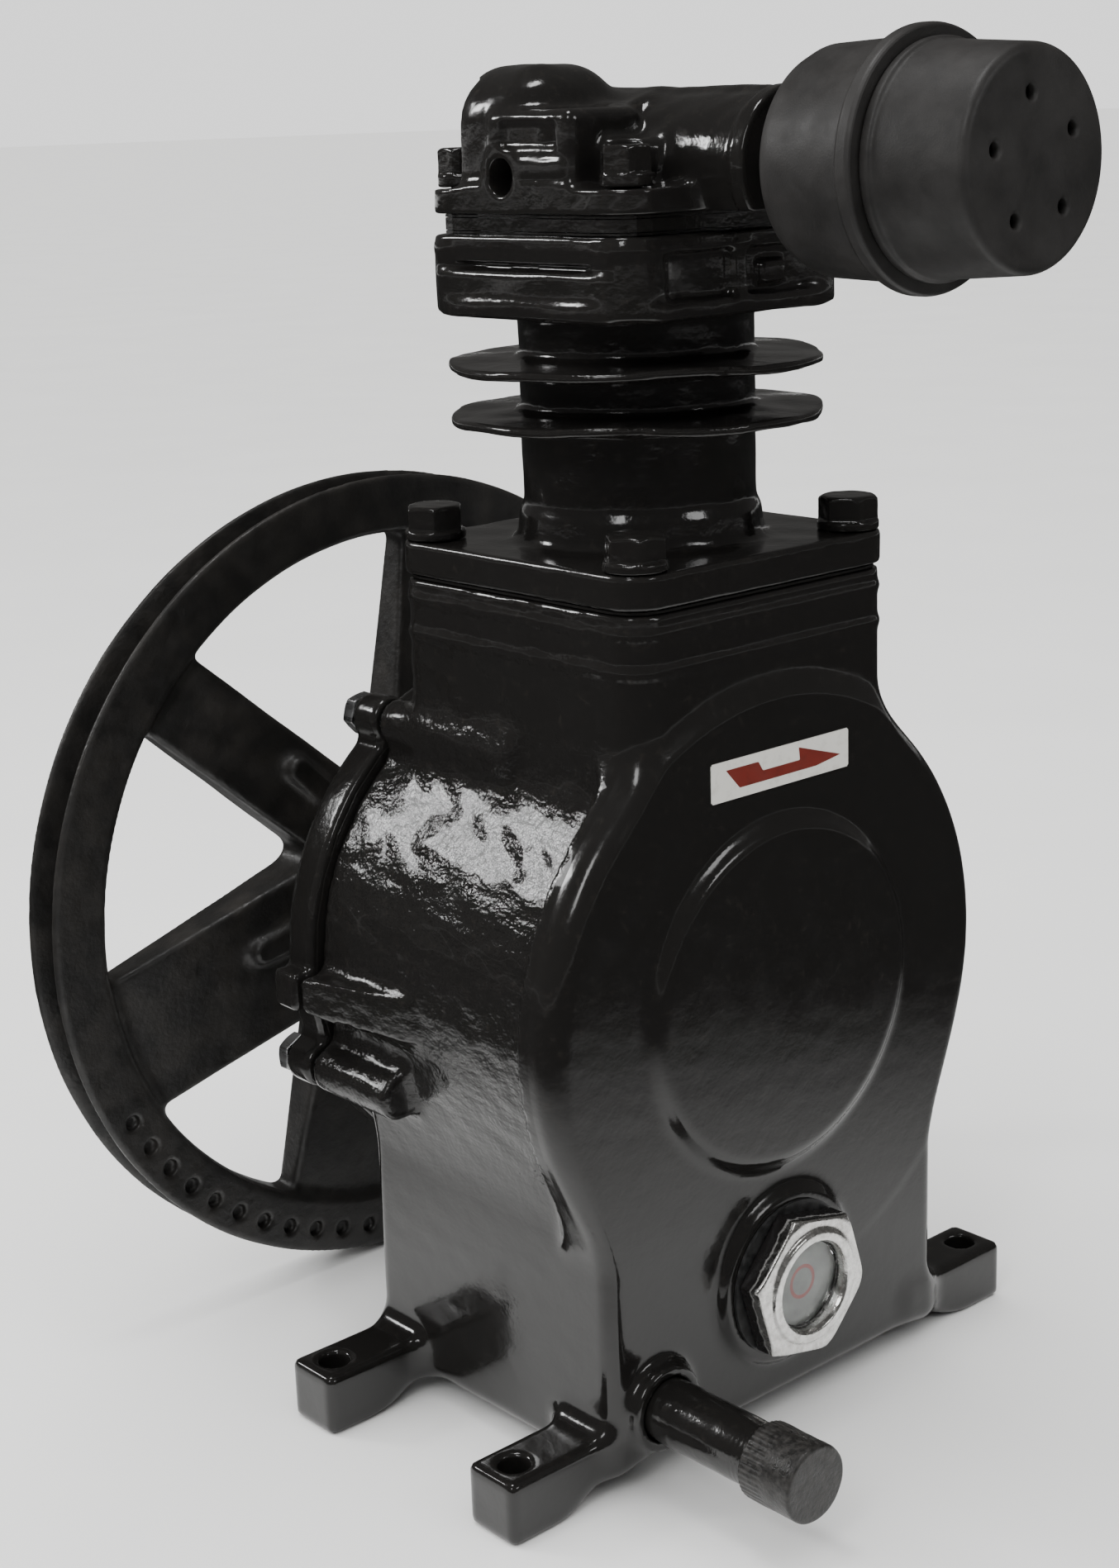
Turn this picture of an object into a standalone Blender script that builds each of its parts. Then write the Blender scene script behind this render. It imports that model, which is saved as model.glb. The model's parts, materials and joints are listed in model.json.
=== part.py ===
"""Single-cylinder belt-driven air compressor pump, modelled piece by piece.

Frame: metres, +Z up. The cylinder axis is X = Y = 0, the feet stand on Z = 0 and the crankshaft lies
along Y. The closed face of the crankcase looks along -Y and the flywheel is at +Y.
"""

import math

import bmesh
import bpy
from mathutils import Matrix, Vector

MM = 0.001
GAP = 0.3 * MM
STEP = 0.2 * MM  # lobes end this far short of the ring that they stand on

# Heights
CRANK_Z = 152.0 * MM
CASE_TOP = 283.9 * MM
FLANGE_TOP = 296.2 * MM
CYLINDER_TOP = 393.6 * MM
HEAD_BOTTOM = 399.9 * MM
HEAD_FLANGE_TOP = 407.6 * MM
FILTER_Z = 413.1 * MM

# Crankcase
SUMP_HALF_X = 78.5 * MM
SUMP_FRONT = -60.2 * MM
SUMP_REAR = 60.0 * MM
SUMP_BOTTOM = 7.6 * MM
SUMP_EDGE = 5.5 * MM
NECK_HALF = 57.5 * MM
CORNER_R = 11.0 * MM
DISC_R = 99.5 * MM
DISC_FRONT = -60.4 * MM
DISC_REAR = -45.0 * MM
PANEL_R = 61.3 * MM
PANEL_TOP_R = 55.8 * MM
PANEL_FRONT = -64.2 * MM
BARREL_R = 88.0 * MM
CASE_REAR = 69.0 * MM
CHAMBER_R = 76.0 * MM
FOOT_TOP = 21.6 * MM
FOOT_END = 119.3 * MM
FOOT_HOLE_X = 109.0 * MM
FOOT_Y = 47.0 * MM
FOOT_WIDTH = 22.0 * MM
SIGHT_Z = 52.5 * MM
DRAIN_X = -59.0 * MM
DRAIN_Z = 27.6 * MM

# Rear bearing carrier
LOBE_ANGLES = (57, 123, 202, 270, 338)
LOBE_FRONTS = (0.0, 0.0, 28.0 * MM, 51.0 * MM, 28.0 * MM)
LOBE_RADIUS = 8.0 * MM
LOBE_CIRCLE = 95.0 * MM
CARRIER_R = 92.0 * MM
CARRIER_FRONT = 70.2 * MM
CARRIER_REAR = 84.0 * MM

# Crank, rod and piston
THROW = 19.0 * MM
PIN_R = 11.0 * MM
ROD_LENGTH = 185.0 * MM
BORE_R = 32.5 * MM
WRIST_BORE_R = 5.8 * MM
CRANKPIN_Z = CRANK_Z + THROW
WRIST_Z = CRANKPIN_Z + ROD_LENGTH

# Flywheel
WHEEL_R = 151.0 * MM
RIM_INNER_R = 129.5 * MM
WHEEL_FRONT = 137.4 * MM
WHEEL_REAR = 155.7 * MM
GROOVE_DEPTH = 12.5 * MM
SPOKES = ((18, 32), (78, 32), (138, 32), (198, 55), (258, 64), (318, 55))
WINDOW_FILLET = 9.0 * MM
WINDOW_INNER_FILLET = 8.0 * MM

# Cylinder and head
BASE_BOLT_AT = 47.5 * MM
HEAD_BOLT_AT = 37.5 * MM
BLOCK_HALF = 48.0 * MM
FIN_HEIGHTS = (336.2 * MM, 353.0 * MM)
DOME_LOW = (-46.2 * MM, -8.0 * MM, 402.0 * MM)
DOME_HIGH = (-1.0 * MM, 41.0 * MM, 444.0 * MM)
DOME_EDGE = 17.0 * MM


def clear_scene():
    for obj in list(bpy.data.objects):
        bpy.data.objects.remove(obj, do_unlink=True)


def make_collection(name):
    made = bpy.data.collections.new(name)
    bpy.context.scene.collection.children.link(made)
    return made


def material(name, colour, roughness, metallic=0.0):
    made = bpy.data.materials.new(name)
    made.use_nodes = True
    shader = made.node_tree.nodes["Principled BSDF"]
    shader.inputs["Base Color"].default_value = (*colour, 1.0)
    shader.inputs["Roughness"].default_value = roughness
    shader.inputs["Metallic"].default_value = metallic
    return made


clear_scene()
PARTS = make_collection("compressor_pump")
TOOLS = make_collection("cutters")

CAST_BLACK = material("cast_black", (0.012, 0.011, 0.010), 0.22)
WHEEL_BLACK = material("wheel_black", (0.016, 0.015, 0.015), 0.42)
PLASTIC = material("filter_plastic", (0.03, 0.03, 0.03), 0.55)
ZINC = material("zinc_plate", (0.72, 0.71, 0.69), 0.25, 1.0)
STEEL = material("bright_steel", (0.55, 0.55, 0.56), 0.3, 1.0)
IRON = material("machined_iron", (0.25, 0.25, 0.26), 0.4, 1.0)
ALLOY = material("aluminium_alloy", (0.6, 0.6, 0.6), 0.4, 1.0)
GASKET = material("gasket_fibre", (0.08, 0.07, 0.06), 0.8)
RUBBER = material("seal_rubber", (0.02, 0.02, 0.02), 0.6)
FOAM = material("filter_foam", (0.12, 0.12, 0.12), 0.95)
GLASS = material("sight_glass", (0.75, 0.78, 0.78), 0.05)
PAPER = material("sight_backing", (0.6, 0.6, 0.58), 0.6)


def place(obj, mat=None, tool=False):
    """Puts a new object in its collection, with its material and smooth shading."""
    (TOOLS if tool else PARTS).objects.link(obj)
    if tool:
        obj.hide_render = True
        obj.display_type = "WIRE"
    if mat:
        obj.data.materials.append(mat)
    return obj


def shade(obj, angle=35):
    obj.data.shade_smooth()
    obj.data.set_sharp_from_angle(angle=math.radians(angle))
    return obj


def lay_along(obj, axis):
    """Turns an object built along +Z so that it lies along +X or +Y."""
    if axis == "Y":
        obj.rotation_euler = (-math.pi / 2, 0, 0)
    if axis == "X":
        obj.rotation_euler = (0, math.pi / 2, 0)


def bevel(obj, width, segments=3):
    added = obj.modifiers.new("edges", "BEVEL")
    added.width = width
    added.segments = segments
    added.limit_method = "ANGLE"
    added.angle_limit = math.radians(40)
    return obj


def box(name, low, high, mat=None, tool=False, edge=0.0, segments=3):
    """A block from its low corner to its high corner, with its edges rounded if edge is given."""
    bm = bmesh.new()
    size = Vector(high) - Vector(low)
    bmesh.ops.create_cube(bm, size=1.0, matrix=Matrix.Diagonal((*size, 1.0)))
    mesh = bpy.data.meshes.new(name)
    bm.to_mesh(mesh)
    bm.free()
    obj = place(bpy.data.objects.new(name, mesh), mat, tool)
    obj.location = (Vector(low) + Vector(high)) / 2
    if edge:
        bevel(obj, edge, segments)
    return obj


def rod(name, centre, radius, low, high, axis="Z", mat=None, tool=False, sides=24):
    """A round bar along an axis, from low to high on it. The centre gives its other two coordinates."""
    bm = bmesh.new()
    bmesh.ops.create_cone(
        bm, cap_ends=True, segments=sides, radius1=radius, radius2=radius, depth=high - low
    )
    mesh = bpy.data.meshes.new(name)
    bm.to_mesh(mesh)
    bm.free()
    obj = place(bpy.data.objects.new(name, mesh), mat, tool)
    where = Vector(centre)
    where["XYZ".index(axis)] = (low + high) / 2
    obj.location = where
    lay_along(obj, axis)
    return shade(obj)


def turned(name, profile, centre=(0, 0, 0), axis="Z", mat=None, tool=False, steps=32, ring=False):
    """A profile of (radius, height) points, top to bottom on its outer side, turned about the axis."""
    mesh = bpy.data.meshes.new(name)
    points = [(radius, 0, height) for radius, height in profile]
    edges = [(i, i + 1) for i in range(len(points) - 1)]
    if ring:
        edges.append((len(points) - 1, 0))
    mesh.from_pydata(points, edges, [])
    obj = place(bpy.data.objects.new(name, mesh), mat, tool)
    obj.location = centre
    lay_along(obj, axis)
    screw = obj.modifiers.new("turn", "SCREW")
    screw.axis = "Z"
    screw.angle = 2 * math.pi
    screw.steps = steps
    screw.render_steps = steps
    screw.use_merge_vertices = True
    screw.merge_threshold = 0.00001
    screw.use_smooth_shade = False
    return obj


def tube(name, centre, inner, outer, low, high, axis="Z", mat=None, tool=False, steps=32):
    """A plain ring between two radii."""
    profile = [(outer, high), (outer, low), (inner, low), (inner, high)]
    return turned(name, profile, centre, axis, mat, tool, steps, ring=True)


def arc(x, y, radius, start, end, count):
    """Points along an arc, with angles in degrees."""
    turn = (math.radians(start + (end - start) * i / count) for i in range(count + 1))
    return [(x + radius * math.cos(a), y + radius * math.sin(a)) for a in turn]


def rounded_square(half_x, half_y, radius, count=3):
    points = []
    for quarter, (sx, sy) in enumerate(((1, 1), (-1, 1), (-1, -1), (1, -1))):
        x, y = sx * (half_x - radius), sy * (half_y - radius)
        points += arc(x, y, radius, 90 * quarter, 90 * quarter + 90, count)
    return points


def plate(name, outline, low, high, axis="Z", mat=None, tool=False, shift=(0, 0, 0), holes=()):
    """An outline (and holes in it) given a thickness along the axis.

    The outline is in X, Y for axis Z, in X, Z for axis Y and in Y, Z for axis X.
    """
    curve = bpy.data.curves.new(name, "CURVE")
    curve.dimensions = "2D"
    curve.fill_mode = "BOTH"
    curve.extrude = (high - low) / 2
    for loop in (outline, *holes):
        spline = curve.splines.new("POLY")
        spline.points.add(len(loop) - 1)
        for point, (x, y) in zip(spline.points, loop):
            point.co = (x, y, 0, 1)
        spline.use_cyclic_u = True
    flat = bpy.data.objects.new(name + "_outline", curve)
    TOOLS.objects.link(flat)
    bpy.context.view_layer.update()
    graph = bpy.context.evaluated_depsgraph_get()
    mesh = bpy.data.meshes.new_from_object(flat.evaluated_get(graph))
    bpy.data.objects.remove(flat, do_unlink=True)
    bpy.data.curves.remove(curve)
    mesh.name = name
    mesh.materials.clear()
    turn = {
        "Z": Matrix.Identity(4),
        "Y": Matrix.Rotation(math.pi / 2, 4, "X"),
        "X": Matrix(((0, 0, 1, 0), (1, 0, 0, 0), (0, 1, 0, 0), (0, 0, 0, 1))),
    }[axis]
    bm = bmesh.new()
    bm.from_mesh(mesh)
    bmesh.ops.remove_doubles(bm, verts=bm.verts, dist=0.000001)
    bmesh.ops.transform(bm, matrix=turn, verts=bm.verts)
    bmesh.ops.recalc_face_normals(bm, faces=bm.faces)
    bm.to_mesh(mesh)
    bm.free()
    obj = place(bpy.data.objects.new(name, mesh), mat, tool)
    where = Vector(shift)
    where["XYZ".index(axis)] += (low + high) / 2
    obj.location = where
    return obj


def boolean(obj, tool, operation):
    added = obj.modifiers.new(tool.name, "BOOLEAN")
    added.operation = operation
    added.object = tool
    added.solver = "EXACT"
    return obj


def join(obj, *tools):
    for tool in tools:
        boolean(obj, tool, "UNION")


def cut(obj, *tools):
    for tool in tools:
        boolean(obj, tool, "DIFFERENCE")


def attach(parent, *pieces):
    """Parents pieces to an empty on their joint's axis, without moving them."""
    for piece in pieces:
        piece.parent = parent
        piece.location -= Vector(parent.location)


def around(radius, angle):
    """X and Z of a point around the crankshaft's axis, the angle in degrees from +X towards +Z."""
    turn = math.radians(angle)
    return radius * math.cos(turn), CRANK_Z + radius * math.sin(turn)


def slot_outline(radius, near, far, angle):
    """A round-ended bar in X, Z that points out from the crankshaft's axis."""
    turn = math.radians(angle)
    out = Vector((math.cos(turn), math.sin(turn)))
    side = Vector((-out.y, out.x))
    tip = out * far
    points = [tuple(out * near - side * radius)]
    points += [
        (tip.x + radius * math.cos(turn + a), tip.y + radius * math.sin(turn + a))
        for a in (math.radians(-90 + 22.5 * i) for i in range(0, 9, 2))
    ]
    points.append(tuple(out * near + side * radius))
    return [(x, z + CRANK_Z) for x, z in points]


def foot(index, side_x, y):
    """One foot's solid: a bar with a rising underside and a fillet up the sump's wall."""
    outline = [
        (FOOT_END, 0.0),
        (FOOT_END, FOOT_TOP),
        (88 * MM, FOOT_TOP),
        (81 * MM, 23.5 * MM),
        (78.2 * MM, 31 * MM),
        (60 * MM, 31 * MM),
        (60 * MM, 12 * MM),
        (74 * MM, 8.6 * MM),
        (84 * MM, 2 * MM),
        (90 * MM, 0.0),
    ]
    outline = [(side_x * x, z) for x, z in outline]
    low, high = y - FOOT_WIDTH / 2, y + FOOT_WIDTH / 2
    made = plate(f"foot_{index}", outline, low, high, "Y", tool=True)
    return bevel(made, 2.5 * MM, 1)


def crankcase():
    """The main casting: neck, front disc, rear barrel, sump and four feet, hollow inside."""
    low = (-SUMP_HALF_X, SUMP_FRONT, SUMP_BOTTOM)
    high = (SUMP_HALF_X, SUMP_REAR, CRANK_Z)
    body = box("crankcase", low, high, CAST_BLACK, edge=SUMP_EDGE, segments=2)
    neck_outline = rounded_square(NECK_HALF, NECK_HALF, CORNER_R)
    neck = plate("neck", neck_outline, CRANK_Z - 40 * MM, CASE_TOP, tool=True)
    edge = 8 * MM
    rim = arc(DISC_R - edge, DISC_FRONT + edge, edge, 0, -90, 3)
    profile = [(0, DISC_REAR), (DISC_R, DISC_REAR), *rim]
    profile += [(PANEL_R, DISC_FRONT), (PANEL_R - 2 * MM, DISC_FRONT - 2.4 * MM)]
    profile += [(PANEL_TOP_R, PANEL_FRONT), (0, PANEL_FRONT)]
    centre = (0, 0, CRANK_Z)
    disc = turned("front_disc", profile, centre, "Y", tool=True, steps=44)
    barrel = rod("barrel", centre, BARREL_R, -52 * MM, CASE_REAR, "Y", tool=True, sides=38)
    join(body, neck, barrel, disc)
    for index, (angle, front) in enumerate(zip(LOBE_ANGLES, LOBE_FRONTS), 1):
        outline = slot_outline(LOBE_RADIUS, 80 * MM, LOBE_CIRCLE, angle)
        join(body, plate(f"lobe_{index}", outline, front, CASE_REAR - STEP, "Y", tool=True))
    lug = [(-80, 22), (-88.6, 22), (-99, 68.6), (-80, 68.6)]
    lug = [(x * MM, y * MM) for x, y in lug]
    join(body, plate("side_lug", lug, 138.6 * MM, 151.6 * MM, tool=True))
    feet = [(sx, sy) for sx in (-1, 1) for sy in (-1, 1)]
    for index, (side_x, side_y) in enumerate(feet, 1):
        join(body, foot(index, side_x, side_y * FOOT_Y))
    sight = (0, 0, SIGHT_Z)
    drain = (DRAIN_X, 0, DRAIN_Z)
    join(body, rod("sight_boss", sight, 30 * MM, -63.5 * MM, -55 * MM, "Y", tool=True))
    join(body, rod("drain_boss", drain, 14.5 * MM, -66 * MM, -52 * MM, "Y", tool=True))
    chamber = rod("chamber", centre, CHAMBER_R, -50 * MM, 80 * MM, "Y", tool=True, sides=32)
    low = (-68 * MM, -50.5 * MM, 17 * MM)
    high = (68 * MM, 50 * MM, CRANK_Z)
    sump = box("sump_hollow", low, high, tool=True, edge=6 * MM, segments=2)
    bore = rod("neck_bore", (0, 0, 0), 42 * MM, 190 * MM, 290 * MM, tool=True, sides=32)
    cut(body, chamber, sump, bore)
    cut(body, rod("sight_hole", sight, 17 * MM, -70 * MM, -45 * MM, "Y", tool=True))
    cut(body, rod("drain_hole", drain, 10.9 * MM, -70 * MM, -45 * MM, "Y", tool=True, sides=24))
    for index, (side_x, side_y) in enumerate(feet, 1):
        where = (side_x * FOOT_HOLE_X, side_y * FOOT_Y, 0)
        hole = rod(f"foot_hole_{index}", where, 5.25 * MM, -5 * MM, 40 * MM, tool=True, sides=16)
        where = (side_x * BASE_BOLT_AT, side_y * BASE_BOLT_AT, 0)
        tapped = rod(f"neck_tap_{index}", where, 5.2 * MM, 262 * MM, 290 * MM, tool=True, sides=12)
        cut(body, hole, tapped)
    for index, angle in enumerate(LOBE_ANGLES, 1):
        x, z = around(LOBE_CIRCLE, angle)
        cut(body, rod(f"lobe_tap_{index}", (x, 0, z), 4.3 * MM, 52 * MM, 80 * MM, "Y",
                      tool=True, sides=8))
    return body


def hex_bolt(name, at, axis_sign, axis, across, head, shank_r, length, mat, washer=0.0):
    """A hex-head bolt. It sits on its head's underside at the given point and points against axis_sign."""
    x, y, z = at
    radius = across / 2 / math.cos(math.pi / 6)
    height = {"X": x, "Y": y, "Z": z}[axis]
    ends = sorted((height, height + axis_sign * (head + washer)))
    bolt = rod(name, at, radius, ends[0], ends[1], axis, mat, sides=6)
    if washer:
        ends = sorted((height, height + axis_sign * washer))
        join(bolt, rod(name + "_washer", at, radius * 1.04, ends[0], ends[1], axis, tool=True, sides=12))
    ends = sorted((height + axis_sign * head / 2, height - axis_sign * length))
    join(bolt, rod(name + "_shank", at, shank_r, ends[0], ends[1], axis, tool=True, sides=8))
    return bolt


def carrier():
    """The rear bearing carrier with its five bolts, gasket, two ball bearings and shaft seal."""
    centre = (0, 0, CRANK_Z)
    outer = [
        (36, 118), (39, 112), (43, 92), (58, 84), (90.5, 84), (92, 82.5), (92, 70.2),
        (75.6, 70.2), (75.6, 64), (44, 64), (44, 38),
    ]
    inner = [(31.3, 38), (31.3, 56.3), (26, 56.3), (26, 95.7), (31.3, 95.7), (31.3, 118)]
    profile = [(r * MM, y * MM) for r, y in outer + inner]
    body = turned("rear_bearing_carrier", profile, centre, "Y", CAST_BLACK, steps=36, ring=True)
    for index, angle in enumerate(LOBE_ANGLES, 1):
        outline = slot_outline(LOBE_RADIUS, 82 * MM, LOBE_CIRCLE, angle)
        low, high = CARRIER_FRONT + STEP, CARRIER_REAR - 0.6 * MM
        lobe = plate(f"carrier_lobe_{index}", outline, low, high, "Y", tool=True)
        join(body, lobe)
    lug = [(-80, 70.6), (-99.2, 70.6), (-99.2, 83.1), (-80, 83.1)]
    lug = [(x * MM, y * MM) for x, y in lug]
    join(body, plate("carrier_lug", lug, 138.6 * MM, 151.6 * MM, tool=True))
    for index, angle in enumerate(LOBE_ANGLES, 1):
        x, z = around(LOBE_CIRCLE, angle)
        cut(body, rod(f"carrier_hole_{index}", (x, 0, z), 4.5 * MM, 60 * MM, 90 * MM, "Y",
                      tool=True, sides=8))
        hex_bolt(f"carrier_bolt_{index}", (x, CARRIER_REAR + GAP, z), 1, "Y", 13 * MM, 5.5 * MM,
                 3.9 * MM, 28 * MM, STEEL)
    tube("carrier_gasket", centre, 76.4 * MM, 90.2 * MM, 69.3 * MM, 69.9 * MM, "Y", GASKET, steps=36)
    for name, low in (("front_main_bearing", 40), ("rear_main_bearing", 96)):
        ring = [(31, 16), (31, 0), (15.35, 0), (15.35, 16), (20, 16), (20, 15), (26, 15), (26, 16)]
        profile = [(r * MM, (low + y) * MM) for r, y in ring]
        turned(name, profile, centre, "Y", STEEL, steps=24, ring=True)
    seal = [(31, 117.6), (31, 112.6), (18, 112.6), (15.35, 114), (18, 116), (24, 117.6)]
    profile = [(r * MM, y * MM) for r, y in seal]
    turned("shaft_seal", profile, centre, "Y", RUBBER, steps=24, ring=True)


def window(near, far, outer_r):
    """A flywheel window between two spokes, each (angle, width), its corners filleted.

    The corners' centres lie one fillet inside the rim and one fillet off each spoke.
    """
    fillet = WINDOW_FILLET
    sides = []
    for (angle, width), turn in ((near, 1), (far, -1)):
        a = math.radians(angle)
        along = Vector((math.cos(a), math.sin(a)))
        off = turn * Vector((-along.y, along.x))
        sides.append((along, off, width * MM / 2 + fillet))
    points = []
    corners = []
    for along, off, distance in sides:
        reach = math.sqrt((outer_r - fillet) ** 2 - distance**2)
        corners.append(along * reach + off * distance)
    (_, off_a, da), (_, off_b, db) = sides
    inner_fillet = WINDOW_INNER_FILLET
    grown_a, grown_b = da - fillet + inner_fillet, db - fillet + inner_fillet
    cross = off_a.x * off_b.y - off_a.y * off_b.x
    inner_x = (grown_a * off_b.y - grown_b * off_a.y) / cross
    inner_z = (off_a.x * grown_b - off_b.x * grown_a) / cross
    inner = Vector((inner_x, inner_z))

    def sweep(centre, radius, start, end, count):
        a = math.atan2(start.y, start.x)
        b = math.atan2(end.y, end.x)
        b += 2 * math.pi if b < a - 1e-9 else 0
        for i in range(count + 1):
            t = a + (b - a) * i / count
            points.append((centre.x + radius * math.cos(t), centre.y + radius * math.sin(t)))

    sweep(corners[0], fillet, -off_a, corners[0], 3)
    sweep(Vector((0, 0)), outer_r, corners[0], corners[1], 5)
    sweep(corners[1], fillet, corners[1], -off_b, 3)
    sweep(inner, inner_fillet, -off_b, -off_a, 3)
    kept = [p for i, p in enumerate(points) if math.dist(p, points[i - 1]) > 0.1 * MM]
    return [(x, z + CRANK_Z) for x, z in kept]


def flywheel(parent):
    """The belt flywheel: grooved rim, six spokes of three widths, and hub."""
    middle = (WHEEL_FRONT + WHEEL_REAR) / 2
    top = 6.6 * MM
    bottom = 3.6 * MM
    edge = 1.2 * MM
    profile = [
        (WHEEL_R - edge, WHEEL_REAR),
        (WHEEL_R, WHEEL_REAR - edge),
        (WHEEL_R, middle + top),
        (WHEEL_R - GROOVE_DEPTH, middle + bottom),
        (WHEEL_R - GROOVE_DEPTH, middle - bottom),
        (WHEEL_R, middle - top),
        (WHEEL_R, WHEEL_FRONT + edge),
        (WHEEL_R - edge, WHEEL_FRONT),
        (RIM_INNER_R + 2.5 * MM, WHEEL_FRONT),
        (RIM_INNER_R - 2 * MM, WHEEL_FRONT + 3 * MM),
        (60 * MM, 132 * MM),
        (31 * MM, 127 * MM),
        (28 * MM, 123 * MM),
        (12.85 * MM, 123 * MM),
        (12.85 * MM, 146 * MM),
        (30 * MM, 146 * MM),
        (40 * MM, 150.5 * MM),
        (RIM_INNER_R - 2 * MM, 151.5 * MM),
        (RIM_INNER_R + 2.5 * MM, WHEEL_REAR),
    ]
    centre = (0, 0, CRANK_Z)
    wheel = turned("flywheel", profile, centre, "Y", WHEEL_BLACK, steps=48, ring=True)
    for index, near in enumerate(SPOKES):
        far = SPOKES[(index + 1) % len(SPOKES)]
        far = (far[0] + 360, far[1]) if far[0] < near[0] else far
        outline = window(near, far, RIM_INNER_R)
        cut(wheel, plate(f"window_{index + 1}", outline, 110 * MM, 170 * MM, "Y", tool=True))
    slot = box("hub_keyway", (-3.3 * MM, 120 * MM, CRANK_Z + 10 * MM),
               (3.3 * MM, 150 * MM, CRANK_Z + 16.3 * MM), tool=True)
    cut(wheel, slot)
    low = (-3 * MM, 125 * MM, CRANK_Z + 9.3 * MM)
    high = (3 * MM, 144 * MM, CRANK_Z + 16 * MM)
    key = box("flywheel_key", low, high, STEEL, edge=0.5 * MM, segments=1)
    low, high = 146.3 * MM, 149.3 * MM
    washer = tube("flywheel_washer", centre, 5.4 * MM, 17 * MM, low, high, "Y", STEEL, steps=32)
    at = (0, 149.6 * MM, CRANK_Z)
    bolt = hex_bolt("flywheel_bolt", at, 1, "Y", 17 * MM, 7.4 * MM, 4.9 * MM, 26 * MM, STEEL)
    attach(parent, wheel, key, washer, bolt)


def crankshaft(parent):
    """The overhung crankshaft: crankpin, web with counterweight, journal and flywheel seat."""
    profile = [
        (0, 145.4), (11.5, 145.4), (12.5, 144.4), (12.5, 118.8), (15, 117.8), (15, 34), (20, 34),
        (20, 24), (0, 24),
    ]
    profile = [(r * MM, y * MM) for r, y in profile]
    shaft = turned("crankshaft", profile, (0, 0, CRANK_Z), "Y", IRON, steps=32)
    outline = arc(0, THROW, 17 * MM, 0, 180, 10)
    outline += arc(0, 0, 60 * MM, 205, 335, 16)
    outline = [(x, z + CRANK_Z) for x, z in outline]
    web = plate("crank_web", outline, 14.5 * MM, 27 * MM, "Y", tool=True)
    low, high = -14.5 * MM, 18 * MM
    pin = rod("crank_pin", (0, 0, CRANKPIN_Z), PIN_R, low, high, "Y", tool=True, sides=32)
    join(shaft, web, pin)
    slot = box("shaft_keyway", (-3.3 * MM, 121 * MM, CRANK_Z + 9 * MM),
               (3.3 * MM, 150 * MM, CRANK_Z + 14 * MM), tool=True)
    low, high = 120 * MM, 150 * MM
    hole = rod("shaft_thread", (0, 0, CRANK_Z), 5.3 * MM, low, high, "Y", tool=True, sides=16)
    cut(shaft, slot, hole)
    attach(parent, shaft)


def connecting_rod(parent):
    """The rod, its big-end cap with oil dipper, two bolts and the wrist pin."""
    half = 11.5 * MM
    pin = (0, 0, CRANKPIN_Z)
    split = 0.2 * MM
    big_outline = arc(0, 0, 18.5 * MM, 0, 180, 12)
    ear = [(-24 * MM, 0), (-24 * MM, 9 * MM), (24 * MM, 9 * MM), (24 * MM, 0)]
    upper = [(x, max(z, split) + CRANKPIN_Z) for x, z in big_outline]
    rod_body = plate("connecting_rod", upper, -half, half, "Y", ALLOY)
    ears = [(x, max(z, split) + CRANKPIN_Z) for x, z in ear]
    shank = [(-9, 12), (-6.5, 60), (-6, 180), (6, 180), (6.5, 60), (9, 12)]
    shank = [(x * MM, z * MM + CRANKPIN_Z) for x, z in shank]
    join(rod_body, plate("rod_ears", ears, -half + 1 * MM, half - 1 * MM, "Y", tool=True))
    join(rod_body, plate("rod_shank", shank, -5 * MM, 5 * MM, "Y", tool=True))
    eye = (0, 0, WRIST_Z)
    join(rod_body, rod("small_end", eye, 8.5 * MM, -7 * MM, 7 * MM, "Y", tool=True, sides=24))
    low, high = -20 * MM, 20 * MM
    cut(rod_body, rod("big_bore", pin, 11.35 * MM, low, high, "Y", tool=True, sides=32))
    cut(rod_body, rod("small_bore", eye, WRIST_BORE_R, low, high, "Y", tool=True, sides=24))
    lower = [(x, min(-z, -split) + CRANKPIN_Z) for x, z in big_outline]
    cap = plate("rod_cap", lower, -half, half, "Y", ALLOY)
    ears = [(x, min(-z, -split) + CRANKPIN_Z) for x, z in ear]
    join(cap, plate("cap_ears", ears, -half + 1 * MM, half - 1 * MM, "Y", tool=True))
    dipper = [(-3, -16), (-2, -55), (2, -55), (3, -16)]
    dipper = [(x * MM, z * MM + CRANKPIN_Z) for x, z in dipper]
    join(cap, plate("dipper", dipper, -4 * MM, 4 * MM, "Y", tool=True))
    cut(cap, rod("cap_bore", pin, 11.35 * MM, low, high, "Y", tool=True, sides=32))
    for index, side in enumerate((-1, 1), 1):
        where = (side * 19.8 * MM, 0, CRANKPIN_Z)
        hole = rod(f"rod_bolt_hole_{index}", where, 3.1 * MM, CRANKPIN_Z - 30 * MM,
                   CRANKPIN_Z + 30 * MM, tool=True, sides=12)
        spot = rod(f"rod_spot_{index}", where, 5.6 * MM, CRANKPIN_Z + 9 * MM, CRANKPIN_Z + 30 * MM,
                   tool=True, sides=12)
        cut(rod_body, hole, spot)
        cut(cap, hole)
        at = (side * 19.8 * MM, 0, CRANKPIN_Z + 9.3 * MM)
        bolt = hex_bolt(f"rod_bolt_{index}", at, 1, "Z", 9 * MM, 4 * MM, 2.7 * MM, 22 * MM, STEEL)
        attach(parent, bolt)
    wrist = tube("wrist_pin", eye, 2.5 * MM, 5.5 * MM, -7 * MM, 7 * MM, "Y", STEEL, steps=24)
    attach(parent, rod_body, cap, wrist)


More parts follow.
